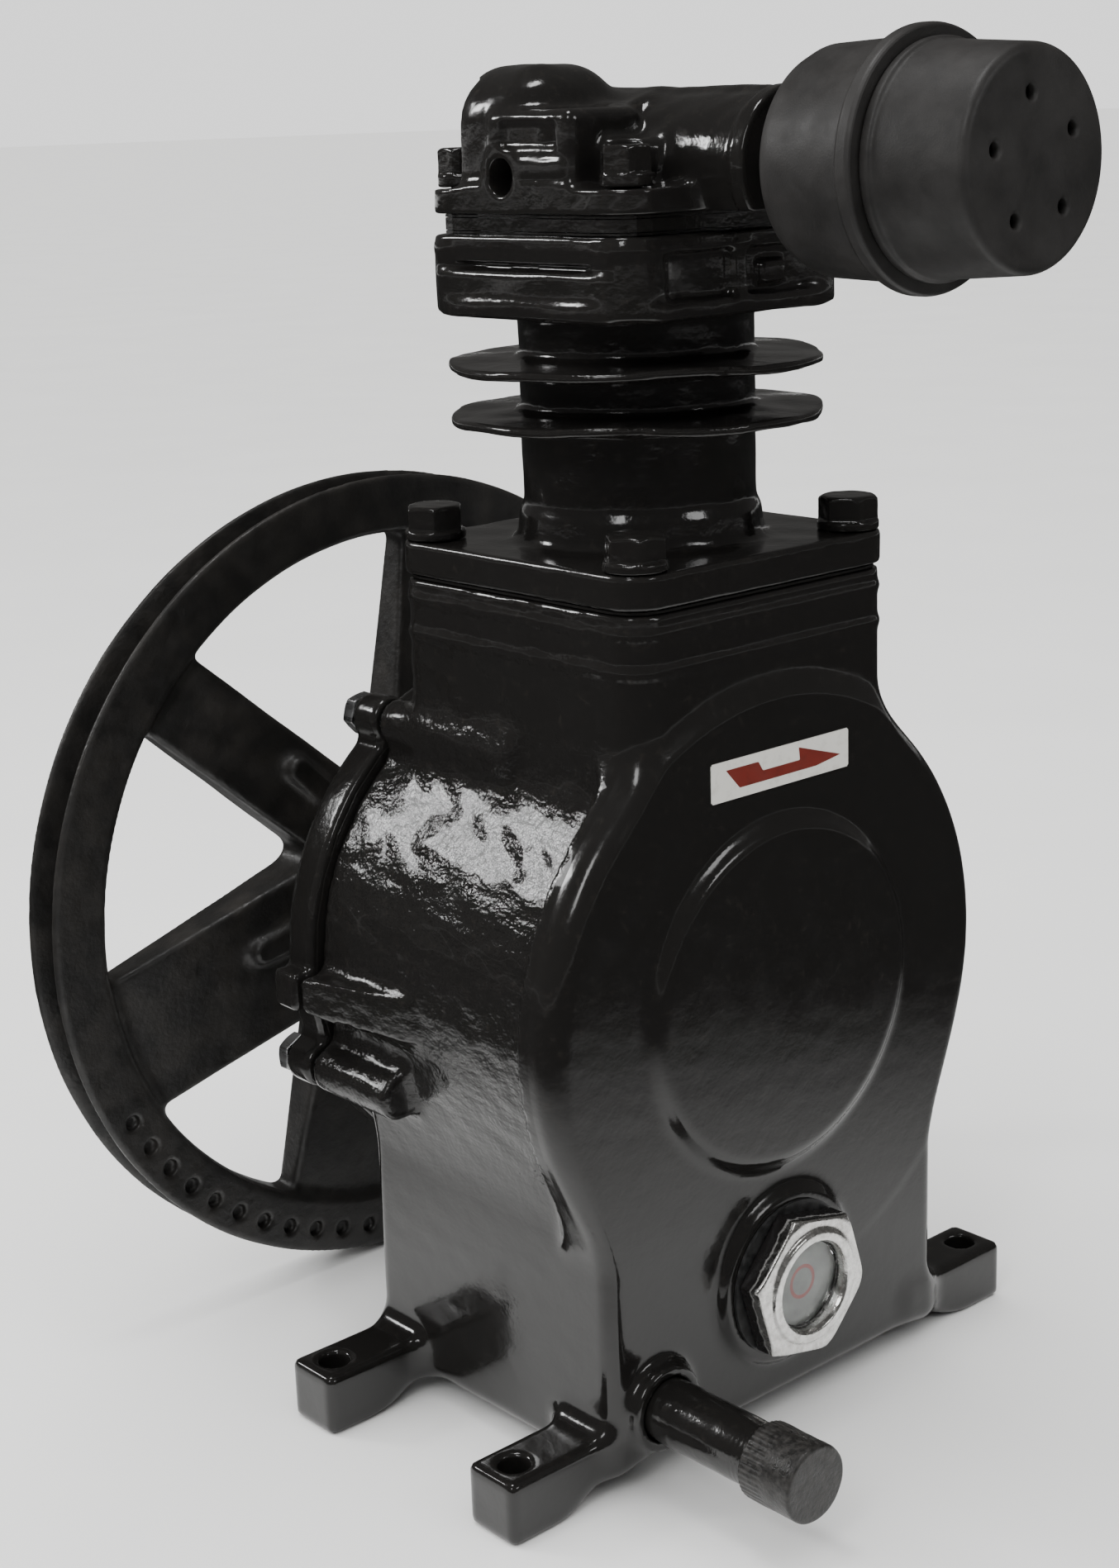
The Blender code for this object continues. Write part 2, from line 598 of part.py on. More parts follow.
def piston():
    """The piston at top dead centre, with two compression rings and an oil ring."""
    crown = 392.4 * MM
    grooves = (388.4, 382.9, 377.4)
    outer = [(0, crown), (31.9 * MM, crown)]
    for top in grooves:
        upper, lower = top * MM, (top - 2.6) * MM
        outer += [(31.9 * MM, upper), (29.1 * MM, upper), (29.1 * MM, lower), (31.9 * MM, lower)]
    outer += [(31.9 * MM, 332 * MM), (29.3 * MM, 332 * MM), (29.3 * MM, 370 * MM)]
    outer += [(27 * MM, 373 * MM), (0, 373 * MM)]
    body = turned("piston", outer, (0, 0, 0), "Z", ALLOY, steps=24)
    pin = (0, 0, WRIST_Z)
    for side in (-1, 1):
        ends = sorted((side * 9 * MM, side * 30 * MM))
        name = "front" if side < 0 else "rear"
        join(body, rod(f"pin_boss_{name}", pin, 9 * MM, *ends, "Y", tool=True, sides=24))
    cut(body, rod("pin_bore", pin, WRIST_BORE_R, -40 * MM, 40 * MM, "Y", tool=True, sides=24))
    for index, top in enumerate(grooves, 1):
        low, high = (top - 2.3) * MM, (top - 0.3) * MM
        tube(f"piston_ring_{index}", (0, 0, 0), 29.5 * MM, 32.2 * MM, low, high, "Z", IRON, steps=24)


def bolt_holes(offset, radius):
    """Four round hole outlines at the corners of a square."""
    signs = [(sx, sy) for sx in (-1, 1) for sy in (-1, 1)]
    return [arc(sx * offset, sy * offset, radius, 0, 315, 7) for sx, sy in signs]


def cylinder():
    """The finned cylinder casting with its square base flange and top block."""
    flange = rounded_square(NECK_HALF + 0.5 * MM, NECK_HALF + 0.5 * MM, CORNER_R)
    body = plate("cylinder", flange, CASE_TOP + 1.4 * MM, FLANGE_TOP, mat=CAST_BLACK)
    outer = [(0, 392 * MM), (37.7 * MM, 392 * MM)]
    for height in reversed(FIN_HEIGHTS):
        fin = [(37.7, 3.5), (39, 2.2), (60.3, 1.2), (60.3, -1.6), (39, -2.6), (37.7, -4)]
        outer += [(radius * MM, height + rise * MM) for radius, rise in fin]
    foot_profile = [(37.7, 312), (38.5, 304), (41, 300), (41, 290), (0, 290)]
    outer += [(radius * MM, z * MM) for radius, z in foot_profile]
    join(body, turned("barrel_and_fins", outer, (0, 0, 0), "Z", tool=True, steps=28))
    join(body, rod("spigot", (0, 0, 0), 36.5 * MM, 262 * MM, 292 * MM, tool=True, sides=24))
    lip = rounded_square(BLOCK_HALF + 0.6 * MM, BLOCK_HALF + 0.6 * MM, 22 * MM)
    join(body, plate("block_lip", lip, 368.6 * MM, 373.6 * MM, tool=True))
    inset = BLOCK_HALF - 3 * MM
    core = rounded_square(inset, inset, 10 * MM)
    join(body, plate("block_core", core, 371 * MM, 389 * MM, tool=True))
    top = rounded_square(BLOCK_HALF, BLOCK_HALF, 12 * MM)
    join(body, plate("block_top", top, 388 * MM, CYLINDER_TOP, tool=True))
    corner = 37 * MM
    for index, (sx, sy) in enumerate(((1, 1), (-1, 1), (-1, -1), (1, -1)), 1):
        where = (sx * corner, sy * corner, 0)
        low, high = 369 * MM, 391 * MM
        join(body, rod(f"block_column_{index}", where, 10.7 * MM, low, high, tool=True, sides=16))
    cut(body, rod("cylinder_bore", (0, 0, 0), BORE_R, 250 * MM, 400 * MM, tool=True, sides=24))
    for index, (sx, sy) in enumerate(((1, 1), (-1, 1), (-1, -1), (1, -1)), 1):
        where = (sx * BASE_BOLT_AT, sy * BASE_BOLT_AT, 0)
        low, high = 280 * MM, 300 * MM
        cut(body, rod(f"base_hole_{index}", where, 5.4 * MM, low, high, tool=True, sides=12))
        where = (sx * HEAD_BOLT_AT, sy * HEAD_BOLT_AT, 0)
        low, high = 374 * MM, 400 * MM
        cut(body, rod(f"block_tap_{index}", where, 4.4 * MM, low, high, tool=True, sides=12))
        at = (sx * BASE_BOLT_AT, sy * BASE_BOLT_AT, FLANGE_TOP + GAP)
        hex_bolt(f"base_bolt_{index}", at, 1, "Z", 17 * MM, 8.5 * MM, 4.9 * MM, 28 * MM,
                 CAST_BLACK, washer=2.5 * MM)
    hole = arc(0, 0, 43 * MM, 0, 345, 23)
    outline = rounded_square(NECK_HALF - 0.8 * MM, NECK_HALF - 0.8 * MM, CORNER_R)
    holes = bolt_holes(BASE_BOLT_AT, 5.6 * MM)
    low, high = CASE_TOP + GAP, CASE_TOP + 1.1 * MM
    plate("base_gasket", outline, low, high, mat=GASKET, holes=(hole, *holes))


def valve_stack():
    """Two gaskets, the valve plate, its reeds, the discharge stop and the two screws that hold it."""
    outline = rounded_square(45 * MM, 45 * MM, 10 * MM)
    bolts = bolt_holes(HEAD_BOLT_AT, 4.7 * MM)
    wide = [arc(0, 0, 33.5 * MM, 0, 345, 23)]
    plate("lower_head_gasket", outline, 393.9 * MM, 394.6 * MM, mat=GASKET, holes=(*wide, *bolts))
    plate("upper_head_gasket", outline, 398.9 * MM, 399.6 * MM, mat=GASKET, holes=(*wide, *bolts))
    ports = [arc(x * MM, y * MM, 4 * MM, 0, 315, 7) for x in (-10, 10) for y in (-14, 14)]
    screws = [arc(x * MM, 14 * MM, 2.1 * MM, 0, 315, 7) for x in (-24, 24)]
    holes = (*bolts, *ports, *screws)
    plate("valve_plate", outline, 394.9 * MM, 398.6 * MM, mat=STEEL, holes=holes)
    reed = rounded_square(26 * MM, 6.5 * MM, 6 * MM)
    plate("suction_reed", reed, 394.0 * MM, 394.6 * MM, mat=STEEL, shift=(0, -14 * MM, 0))
    holes = [arc(x * MM, 0, 2.3 * MM, 0, 315, 7) for x in (-24, 24)]
    reed = rounded_square(29 * MM, 6.5 * MM, 6 * MM)
    shift = (0, 14 * MM, 0)
    plate("discharge_reed", reed, 398.9 * MM, 399.5 * MM, mat=STEEL, shift=shift, holes=holes)
    plate("discharge_stop", reed, 399.8 * MM, 401.8 * MM, mat=STEEL, shift=shift, holes=holes)
    for index, x in enumerate((-24, 24), 1):
        name = f"stop_screw_{index}"
        where = (x * MM, 14 * MM, 0)
        screw = rod(name, where, 4 * MM, 402.1 * MM, 404.6 * MM, mat=STEEL, sides=16)
        low, high = 395.2 * MM, 403 * MM
        join(screw, rod(name + "_shank", where, 1.8 * MM, low, high, tool=True, sides=12))


def head():
    """The cylinder head: flange, intake tube towards -Y, discharge dome and two chambers."""
    outline = rounded_square(BLOCK_HALF, BLOCK_HALF, 13 * MM)
    body = plate("cylinder_head", outline, HEAD_BOTTOM, HEAD_FLANGE_TOP, mat=CAST_BLACK)
    dome = box("dome", DOME_LOW, DOME_HIGH, tool=True, edge=DOME_EDGE, segments=4)
    axis = (0, 0, FILTER_Z)
    low, high = -66 * MM, 20 * MM
    intake = rod("intake_tube", axis, 21.5 * MM, low, high, "Y", tool=True, sides=28)
    low, high = -69.5 * MM, -65 * MM
    collar = rod("intake_collar", axis, 22.5 * MM, low, high, "Y", tool=True, sides=28)
    low = (-47.5 * MM, -24 * MM, 404 * MM)
    high = (-20 * MM, 18 * MM, 431 * MM)
    port = box("port_block", low, high, tool=True, edge=4 * MM, segments=2)
    low = (-36 * MM, -36 * MM, 403 * MM)
    high = (36 * MM, 36 * MM, 422 * MM)
    deck = box("chamber_block", low, high, tool=True, edge=6 * MM, segments=2)
    join(body, deck, intake, collar, port, dome)
    under = rod("under_cut", (0, 0, 0), 90 * MM, 370 * MM, HEAD_BOTTOM, tool=True, sides=16)
    cut(body, under)
    for name, near, far in (("intake_chamber", -29, -3), ("discharge_chamber", 3, 29)):
        low = (-30 * MM, near * MM, 395 * MM)
        high = (30 * MM, far * MM, 417 * MM)
        cut(body, box(name, low, high, tool=True, edge=4 * MM, segments=2))
    low, high = -75 * MM, -20 * MM
    cut(body, rod("intake_bore", axis, 14.3 * MM, low, high, "Y", tool=True, sides=24))
    outlet = (0, 8 * MM, 411 * MM)
    low, high = -60 * MM, -20 * MM
    cut(body, rod("discharge_bore", outlet, 5.5 * MM, low, high, "X", tool=True, sides=24))
    for index, (sx, sy) in enumerate(((1, 1), (-1, 1), (-1, -1), (1, -1)), 1):
        where = (sx * HEAD_BOLT_AT, sy * HEAD_BOLT_AT, 0)
        low, high = HEAD_FLANGE_TOP, 440 * MM
        cut(body, rod(f"head_spot_{index}", where, 10.8 * MM, low, high, tool=True, sides=16))
        low, high = 390 * MM, 415 * MM
        cut(body, rod(f"head_hole_{index}", where, 4.7 * MM, low, high, tool=True, sides=12))
        at = (sx * HEAD_BOLT_AT, sy * HEAD_BOLT_AT, HEAD_FLANGE_TOP + GAP)
        hex_bolt(f"head_bolt_{index}", at, 1, "Z", 14 * MM, 8.5 * MM, 4.1 * MM, 31 * MM,
                 CAST_BLACK, washer=3.5 * MM)


def air_filter():
    """The intake filter: base with its threaded stub, foam element and end cap."""
    centre = (0, 0, FILTER_Z)
    base = [
        (13.8, -56), (13.8, -78.5), (24, -80.5), (30, -84), (33, -89), (34, -117), (37.2, -117.5),
        (37.2, -123), (30.5, -123), (30.5, -90), (20, -84.5), (10, -84.5), (10, -56),
    ]
    profile = [(r * MM, y * MM) for r, y in base]
    turned("filter_base", profile, centre, "Y", PLASTIC, steps=30, ring=True)
    tube("filter_element", centre, 17 * MM, 27 * MM, -150 * MM, -91 * MM, "Y", FOAM, steps=32)
    inner = [(0, -153.5), (28, -153.5), (29.4, -123.3)]
    outer = [(33.4, -123.3), (32.4, -126), (31, -152), (29.6, -155.6), (28, -157), (0, -157)]
    inner = [(r * MM, y * MM) for r, y in inner]
    outer = [(r * MM, y * MM) for r, y in outer]
    cap = turned("filter_cap", inner + outer, centre, "Y", PLASTIC, steps=30)
    for index in range(5):
        turn = math.radians(98 + 72 * index)
        x, z = 17.7 * MM * math.cos(turn), FILTER_Z + 17.7 * MM * math.sin(turn)
        low, high = -160 * MM, -150 * MM
        cut(cap, rod(f"cap_hole_{index + 1}", (x, 0, z), 2.4 * MM, low, high, "Y", tool=True, sides=8))


def sight_glass():
    """The oil sight glass: plated hex ring, sealing washer, lens and backing disc."""
    centre = (0, 0, SIGHT_Z)
    tube("sight_gasket", centre, 16.8 * MM, 27 * MM, -64.9 * MM, -63.8 * MM, "Y", RUBBER, steps=32)
    across = 46.5 * MM
    corner_r = across / 2 / math.cos(math.pi / 6)
    nut = rod("sight_nut", centre, corner_r, -74 * MM, -65.2 * MM, "Y", ZINC, sides=6)
    nut.rotation_euler = (-math.pi / 2, math.radians(7.5), 0)
    join(nut, rod("sight_thread", centre, 16.5 * MM, -68 * MM, -52 * MM, "Y", tool=True, sides=32))
    join(nut, rod("sight_bezel", centre, 19.5 * MM, -75.5 * MM, -72 * MM, "Y", tool=True, sides=32))
    cut(nut, rod("sight_window", centre, 15.2 * MM, -80 * MM, -66 * MM, "Y", tool=True, sides=32))
    cut(nut, rod("sight_bore", centre, 11 * MM, -70 * MM, -40 * MM, "Y", tool=True, sides=24))
    rod("sight_backing", centre, 14.9 * MM, -67.3 * MM, -66.3 * MM, "Y", PAPER, sides=32)
    rod("sight_lens", centre, 14.9 * MM, -71.6 * MM, -67.6 * MM, "Y", GLASS, sides=32)


def drain():
    """The oil drain: a nipple screwed into the sump and its cap."""
    centre = (DRAIN_X, 0, DRAIN_Z)
    tube("drain_nipple", centre, 7.5 * MM, 10.6 * MM, -121 * MM, -52 * MM, "Y", CAST_BLACK, steps=32)
    outer = [(12.4, -107.8), (12.6, -108.5), (12.6, -128.2), (11.8, -129), (0, -129)]
    inner = [(0, -123.5), (10.9, -123.5), (10.9, -107.8)]
    outer = [(r * MM, y * MM) for r, y in outer]
    inner = [(r * MM, y * MM) for r, y in inner]
    turned("drain_cap", inner + outer, centre, "Y", CAST_BLACK, steps=32)


def pivot(name, location):
    empty = bpy.data.objects.new(name, None)
    PARTS.objects.link(empty)
    empty.location = location
    return empty


crank_axis = pivot("crank_axis", (0, 0, CRANK_Z))
rod_axis = pivot("rod_axis", (0, 0, CRANKPIN_Z))
crankcase()
carrier()
crankshaft(crank_axis)
flywheel(crank_axis)
connecting_rod(rod_axis)
piston()
cylinder()
valve_stack()
head()
air_filter()
sight_glass()
drain()
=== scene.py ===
"""The looks of a belt-driven compressor pump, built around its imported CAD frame.

Castings are modelled as distance fields in millimetres, with the fillets of a sand casting, and turned
into meshes. Every piece rides on its CAD body and takes its place from the frame.
"""

import json
import math

import bmesh
import bpy
import numpy as np
import openvdb
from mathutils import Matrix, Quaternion, Vector


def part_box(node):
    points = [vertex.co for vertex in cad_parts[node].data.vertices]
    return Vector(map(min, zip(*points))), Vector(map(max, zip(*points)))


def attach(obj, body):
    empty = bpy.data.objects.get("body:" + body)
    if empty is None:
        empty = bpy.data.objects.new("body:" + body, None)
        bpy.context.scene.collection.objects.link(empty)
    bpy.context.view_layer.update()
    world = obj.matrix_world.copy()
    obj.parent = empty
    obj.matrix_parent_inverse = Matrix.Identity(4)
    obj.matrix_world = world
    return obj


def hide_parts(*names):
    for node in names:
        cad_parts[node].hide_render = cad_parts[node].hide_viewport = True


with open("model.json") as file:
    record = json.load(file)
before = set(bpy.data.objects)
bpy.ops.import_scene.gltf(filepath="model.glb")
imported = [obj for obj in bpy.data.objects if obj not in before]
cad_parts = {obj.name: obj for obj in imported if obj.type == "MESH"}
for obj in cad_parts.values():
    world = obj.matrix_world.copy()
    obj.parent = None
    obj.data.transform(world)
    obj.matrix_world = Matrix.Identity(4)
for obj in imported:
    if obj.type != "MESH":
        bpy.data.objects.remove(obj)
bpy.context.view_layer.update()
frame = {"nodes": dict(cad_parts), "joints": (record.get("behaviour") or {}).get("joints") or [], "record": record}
MM = 0.001

# The camera stands at the front left, turned and tilted by these angles in degrees.
CAMERA_PLACE = (-0.5426, -0.5732, 0.4296)
CAMERA_TURN = 41.3
CAMERA_TILT = 15.4
CAMERA_ROLL = -1.96
CAMERA_LENS = 56.0


def corners(node):
    """A CAD node's low and high corners in millimetres."""
    low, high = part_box(node)
    return [v / MM for v in low], [v / MM for v in high]


def joint_height(name):
    joint = next(j for j in frame["joints"] if j["name"] == name)
    return joint["pos_m"][2] / MM


CRANK_Z = joint_height("crank_spin")
FILTER_Z = sum(corner[2] for corner in corners("filter_cap")) / 2
SIGHT_Z = sum(corner[2] for corner in corners("sight_lens")) / 2
DRAIN_X = sum(corner[0] for corner in corners("drain_nipple")) / 2
DRAIN_Z = sum(corner[2] for corner in corners("drain_nipple")) / 2


# ---------------------------------------------------------------- distance fields


class Field:
    """A grid of points in millimetres, on which shapes are measured as signed distances."""

    def __init__(self, low, high, step):
        self.low, self.step = np.array(low, np.float32), step
        counts = [int((b - a) / step) + 2 for a, b in zip(low, high)]
        axes = [low[i] + step * np.arange(counts[i], dtype=np.float32) for i in range(3)]
        self.x = axes[0][:, None, None]
        self.y = axes[1][None, :, None]
        self.z = axes[2][None, None, :]
        self.axes = {"X": self.x, "Y": self.y, "Z": self.z}

    def across(self, axis, centre):
        """The two coordinates across an axis, measured from a centre."""
        names = [n for n in "XYZ" if n != axis]
        return [self.axes[n] - centre["XYZ".index(n)] for n in names]

    def radius(self, axis, centre):
        a, b = self.across(axis, centre)
        return np.sqrt(a * a + b * b)

    def bar(self, axis, centre, radius, low, high, edge=0.5):
        """A round bar with rounded rims."""
        side = self.radius(axis, centre) - radius + edge
        end = np.abs(self.axes[axis] - (low + high) / 2) - (high - low) / 2 + edge
        return rounded(side, end, edge)

    def cone(self, axis, centre, radius_low, radius_high, low, high, edge=0.5):
        """A round bar whose radius changes evenly from one end to the other."""
        t = (self.axes[axis] - low) / (high - low)
        slope = (radius_high - radius_low) / (high - low)
        side = self.radius(axis, centre) - (radius_low + (radius_high - radius_low) * t)
        side = side / math.sqrt(1 + slope * slope) + edge
        end = np.abs(self.axes[axis] - (low + high) / 2) - (high - low) / 2 + edge
        return rounded(side, end, edge)

    def block(self, low, high, edge=0.5):
        """A box with every edge rounded."""
        parts = []
        for i, axis in enumerate((self.x, self.y, self.z)):
            parts.append(np.abs(axis - (low[i] + high[i]) / 2) - (high[i] - low[i]) / 2 + edge)
        outside = sum(np.maximum(p, 0) ** 2 for p in parts)
        inside = np.minimum(np.maximum(np.maximum(parts[0], parts[1]), parts[2]), 0)
        return np.sqrt(outside) + inside - edge

    def prism(self, axis, centre, half_a, half_b, corner, low, high, edge=0.5):
        """A rounded rectangle across an axis, given a thickness along it."""
        a, b = self.across(axis, centre)
        a, b = np.abs(a) - half_a + corner, np.abs(b) - half_b + corner
        side = rounded(a, b, corner) + edge
        end = np.abs(self.axes[axis] - (low + high) / 2) - (high - low) / 2 + edge
        return rounded(side, end, edge)

    def hexagon(self, axis, centre, across, low, high, turn=0.0, edge=0.5):
        """A hexagonal bar of a width across its flats, turned by an angle in degrees."""
        a, b = self.across(axis, centre)
        side = None
        for i in range(3):
            t = math.radians(turn + 60 * i)
            flat = np.abs(a * math.cos(t) + b * math.sin(t))
            side = flat if side is None else np.maximum(side, flat)
        end = np.abs(self.axes[axis] - (low + high) / 2) - (high - low) / 2 + edge
        return rounded(side - across / 2 + edge, end, edge)

    def plane(self, point, normal):
        n = np.array(normal, float)
        n /= np.linalg.norm(n)
        offsets = [axis - p for axis, p in zip((self.x, self.y, self.z), point)]
        return sum(o * c for o, c in zip(offsets, n))

    def waves(self, size, seed):
        """Smooth bumps about one millimetre high and one size across, the same on each run."""
        draw = np.random.default_rng(seed)
        total = 0
        for _ in range(7):
            way = draw.normal(size=3)
            way *= 2 * math.pi / size / np.linalg.norm(way) * draw.uniform(0.7, 1.4)
            phase = draw.uniform(0, 2 * math.pi)
            total = total + np.sin(self.x * way[0] + self.y * way[1] + self.z * way[2] + phase)
        return total / 3.5

    def mesh(self, name, distance):
        """The surface where the distance is zero, as a Blender object in metres."""
        shape = np.broadcast_shapes(self.x.shape, self.y.shape, self.z.shape)
        values = np.ascontiguousarray(np.broadcast_to(distance, shape), np.float32)
        grid = openvdb.FloatGrid(3 * self.step)
        grid.copyFromArray(np.clip(values, -3 * self.step, 3 * self.step))
        points, _, quads = grid.convertToPolygons(isovalue=0.0, adaptivity=0.0)
        points = (points * self.step + self.low) * MM
        mesh = bpy.data.meshes.new(name)
        mesh.vertices.add(len(points))
        mesh.vertices.foreach_set("co", points.astype(np.float32).ravel())
        mesh.loops.add(quads.size)
        mesh.loops.foreach_set("vertex_index", quads[:, ::-1].astype(np.int32).ravel())
        mesh.polygons.add(len(quads))
        mesh.polygons.foreach_set("loop_start", np.arange(0, quads.size, 4, dtype=np.int32))
        mesh.polygons.foreach_set("use_smooth", np.ones(len(quads), bool))
        mesh.update(calc_edges=True)
        mesh.validate()
        obj = bpy.data.objects.new(name, mesh)
        bpy.context.scene.collection.objects.link(obj)
        return obj


def rounded(a, b, edge):
    """The distance to the corner where two sides meet, each already set back by the edge radius."""
    outside = np.sqrt(np.maximum(a, 0) ** 2 + np.maximum(b, 0) ** 2)
    return outside + np.minimum(np.maximum(a, b), 0) - edge


def join(a, b, fillet=0.0):
    """The union of two shapes, with a fillet of about this radius where they meet."""
    if not fillet:
        return np.minimum(a, b)
    k = 1.2 * fillet
    mix = np.maximum(k - np.abs(a - b), 0) / k
    return np.minimum(a, b) - mix * mix * k / 4


def cut(a, b, fillet=0.0):
    """Shape a without shape b."""
    return -join(-a, b, fillet)


def polar(radius, angle):
    turn = math.radians(angle)
    return radius * math.cos(turn), radius * math.sin(turn)


# ---------------------------------------------------------------- materials


class Shader:
    """A node material with the few helpers that the finishes need."""

    def __init__(self, name, colour, roughness, metallic=0.0, **fixed):
        self.material = bpy.data.materials.new(name)
        self.material.use_nodes = True
        self.tree = self.material.node_tree
        self.main = self.tree.nodes["Principled BSDF"]
        self.main.inputs["Base Color"].default_value = (*colour, 1)
        self.main.inputs["Roughness"].default_value = roughness
        self.main.inputs["Metallic"].default_value = metallic
        for key, value in fixed.items():
            self.main.inputs[key.replace("_", " ")].default_value = value
        self.place = self.tree.nodes.new("ShaderNodeTexCoord").outputs["Object"]

    def node(self, kind, inputs=(), **settings):
        made = self.tree.nodes.new(kind)
        for key, value in settings.items():
            setattr(made, key, value)
        for key, value in dict(inputs).items():
            if isinstance(value, bpy.types.NodeSocket):
                self.tree.links.new(value, made.inputs[key])
            else:
                made.inputs[key].default_value = value
        return made

    def noise(self, size_mm, detail=3.0, stretch=(1, 1, 1), rough=0.55):
        """Noise whose features are about this many millimetres across."""
        scaled = self.node("ShaderNodeMapping", {"Vector": self.place, "Scale": stretch})
        inputs = {"Vector": scaled.outputs[0], "Scale": 1000 / size_mm}
        inputs.update({"Detail": detail, "Roughness": rough})
        return self.node("ShaderNodeTexNoise", inputs).outputs["Fac"]

    def ramp(self, value, low, high, out_low=0.0, out_high=1.0):
        """Maps a value from one range to another, clamped."""
        inputs = {0: value, 1: low, 2: high, 3: out_low, 4: out_high}
        return self.node("ShaderNodeMapRange", inputs).outputs[0]

    def math(self, operation, a, b=0.0):
        return self.node("ShaderNodeMath", {0: a, 1: b}, operation=operation).outputs[0]

    def coordinate(self, axis):
        return self.node("ShaderNodeSeparateXYZ", {0: self.place}).outputs[axis]

    def mix(self, factor, a, b):
        """Blends two colours."""
        made = self.node("ShaderNodeMix", {"Factor": factor}, data_type="RGBA")
        for socket, value in ((made.inputs[6], a), (made.inputs[7], b)):
            if isinstance(value, bpy.types.NodeSocket):
                self.tree.links.new(value, socket)
            else:
                socket.default_value = (*value, 1)
        return made.outputs[2]

    def edges(self, low, high):
        """One on sharp outer edges and zero on flat ground, from the mesh's own shape."""
        point = self.node("ShaderNodeNewGeometry").outputs["Pointiness"]
        return self.ramp(point, low, high)

    def bump(self, height, depth_mm, before=None):
        inputs = {"Height": height, "Distance": depth_mm * MM, "Strength": 1.0}
        if before is not None:
            inputs["Normal"] = before
        return self.node("ShaderNodeBump", inputs).outputs[0]

    def set(self, socket, value):
        self.tree.links.new(value, self.main.inputs[socket])
        return self


def enamel(name, rough_case=False, colour=(0.0085, 0.0080, 0.0075)):
    """Thick gloss black enamel brushed over a sand casting."""
    made = Shader(name, colour, 0.14, IOR=1.44, Coat_Weight=0.2, Coat_Roughness=0.05)
    fine = made.noise(5.0, 4.0)
    sand = made.noise(1.6, 3.0)
    lumps = made.noise(9.0, 3.0, (1, 0.6, 1.3))
    if rough_case:
        # The barrel behind the front disc is left as cast. The disc and the sump are smoother.
        back = made.ramp(made.coordinate(1), -0.050, -0.040)
        up = made.ramp(made.coordinate(2), 0.085, 0.125)
        neck = made.ramp(made.coordinate(2), 0.235, 0.250, 1.0, 0.25)
        rough = made.math("MULTIPLY", made.math("MULTIPLY", back, up), neck)
        amount = made.math("ADD", made.math("MULTIPLY", rough, 0.85), 0.10)
    else:
        wide = made.noise(26, 2.0)
        amount = made.math("ADD", made.math("MULTIPLY", wide, 0.25), 0.12)
    height = made.math("ADD", made.math("MULTIPLY", fine, 0.55), made.math("MULTIPLY", lumps, 0.9))
    height = made.math("ADD", height, made.math("MULTIPLY", sand, 0.20))
    height = made.math("MULTIPLY", height, amount)
    made.set("Normal", made.bump(height, 1.1))
    made.set("Roughness", made.ramp(made.noise(12, 4.0), 0.35, 0.75, 0.09, 0.24))
    dust = made.ramp(made.noise(3.0, 6.0, rough=0.7), 0.56, 0.80, 0.0, 0.5)
    made.set("Base Color", made.mix(dust, colour, (0.030, 0.026, 0.022)))
    return made.material


def wheel_paint():
    """Satin black over cast iron, with the paint thin on machined edges."""
    made = Shader("wheel_paint", (0.012, 0.0115, 0.011), 0.42, IOR=1.5)
    worn = made.edges(0.545, 0.60)
    patchy = made.ramp(made.noise(7, 5.0), 0.42, 0.62)
    worn = made.math("MULTIPLY", worn, patchy)
    grime = made.ramp(made.noise(15, 5.0), 0.4, 0.7)
    base = made.mix(grime, (0.010, 0.0095, 0.009), (0.022, 0.020, 0.018))
    made.set("Base Color", made.mix(made.math("MULTIPLY", worn, 0.7), base, (0.16, 0.155, 0.15)))
    made.set("Roughness", made.ramp(made.noise(6, 4.0), 0.3, 0.7, 0.30, 0.55))
    made.set("Normal", made.bump(made.math("ADD", made.noise(2.2, 4.0), made.noise(8, 3.0)), 0.22))
    return made.material


def moulded_plastic():
    """Charcoal moulded plastic with a fine spark-eroded grain and handling marks."""
    made = Shader("moulded_plastic", (0.016, 0.015, 0.0145), 0.52, IOR=1.48)
    cloud = made.ramp(made.noise(22, 5.0, rough=0.65), 0.35, 0.7)
    made.set("Base Color", made.mix(cloud, (0.012, 0.0113, 0.0108), (0.024, 0.0225, 0.0215)))
    made.set("Roughness", made.ramp(made.noise(9, 5.0), 0.3, 0.7, 0.42, 0.62))
    made.set("Normal", made.bump(made.noise(0.6, 2.0), 0.05, made.bump(made.noise(14, 2.0), 0.25)))
    return made.material


def zinc():
    """Bright zinc plate on a machined ring, scuffed, with turning marks."""
    made = Shader("zinc_plate", (0.78, 0.77, 0.74), 0.22, 1.0)
    scuff = made.ramp(made.noise(3.5, 6.0, rough=0.7), 0.42, 0.75)
    made.set("Base Color", made.mix(scuff, (0.80, 0.79, 0.77), (0.42, 0.41, 0.39)))
    made.set("Roughness", made.ramp(made.noise(2.5, 5.0), 0.3, 0.75, 0.14, 0.42))
    made.set("Normal", made.bump(made.noise(1.2, 4.0), 0.06))
    return made.material


def metal(name, colour, low, high, grain_mm=1.5):
    """Bare machined metal with a streaked finish."""
    made = Shader(name, colour, (low + high) / 2, 1.0)
    streak = made.noise(grain_mm, 4.0, (1, 0.15, 1))
    dark = tuple(c * 0.7 for c in colour)
    made.set("Base Color", made.mix(made.ramp(made.noise(8, 4.0), 0.35, 0.7), colour, dark))
    made.set("Roughness", made.ramp(streak, 0.3, 0.7, low, high))
    made.set("Normal", made.bump(streak, 0.03))
    return made.material


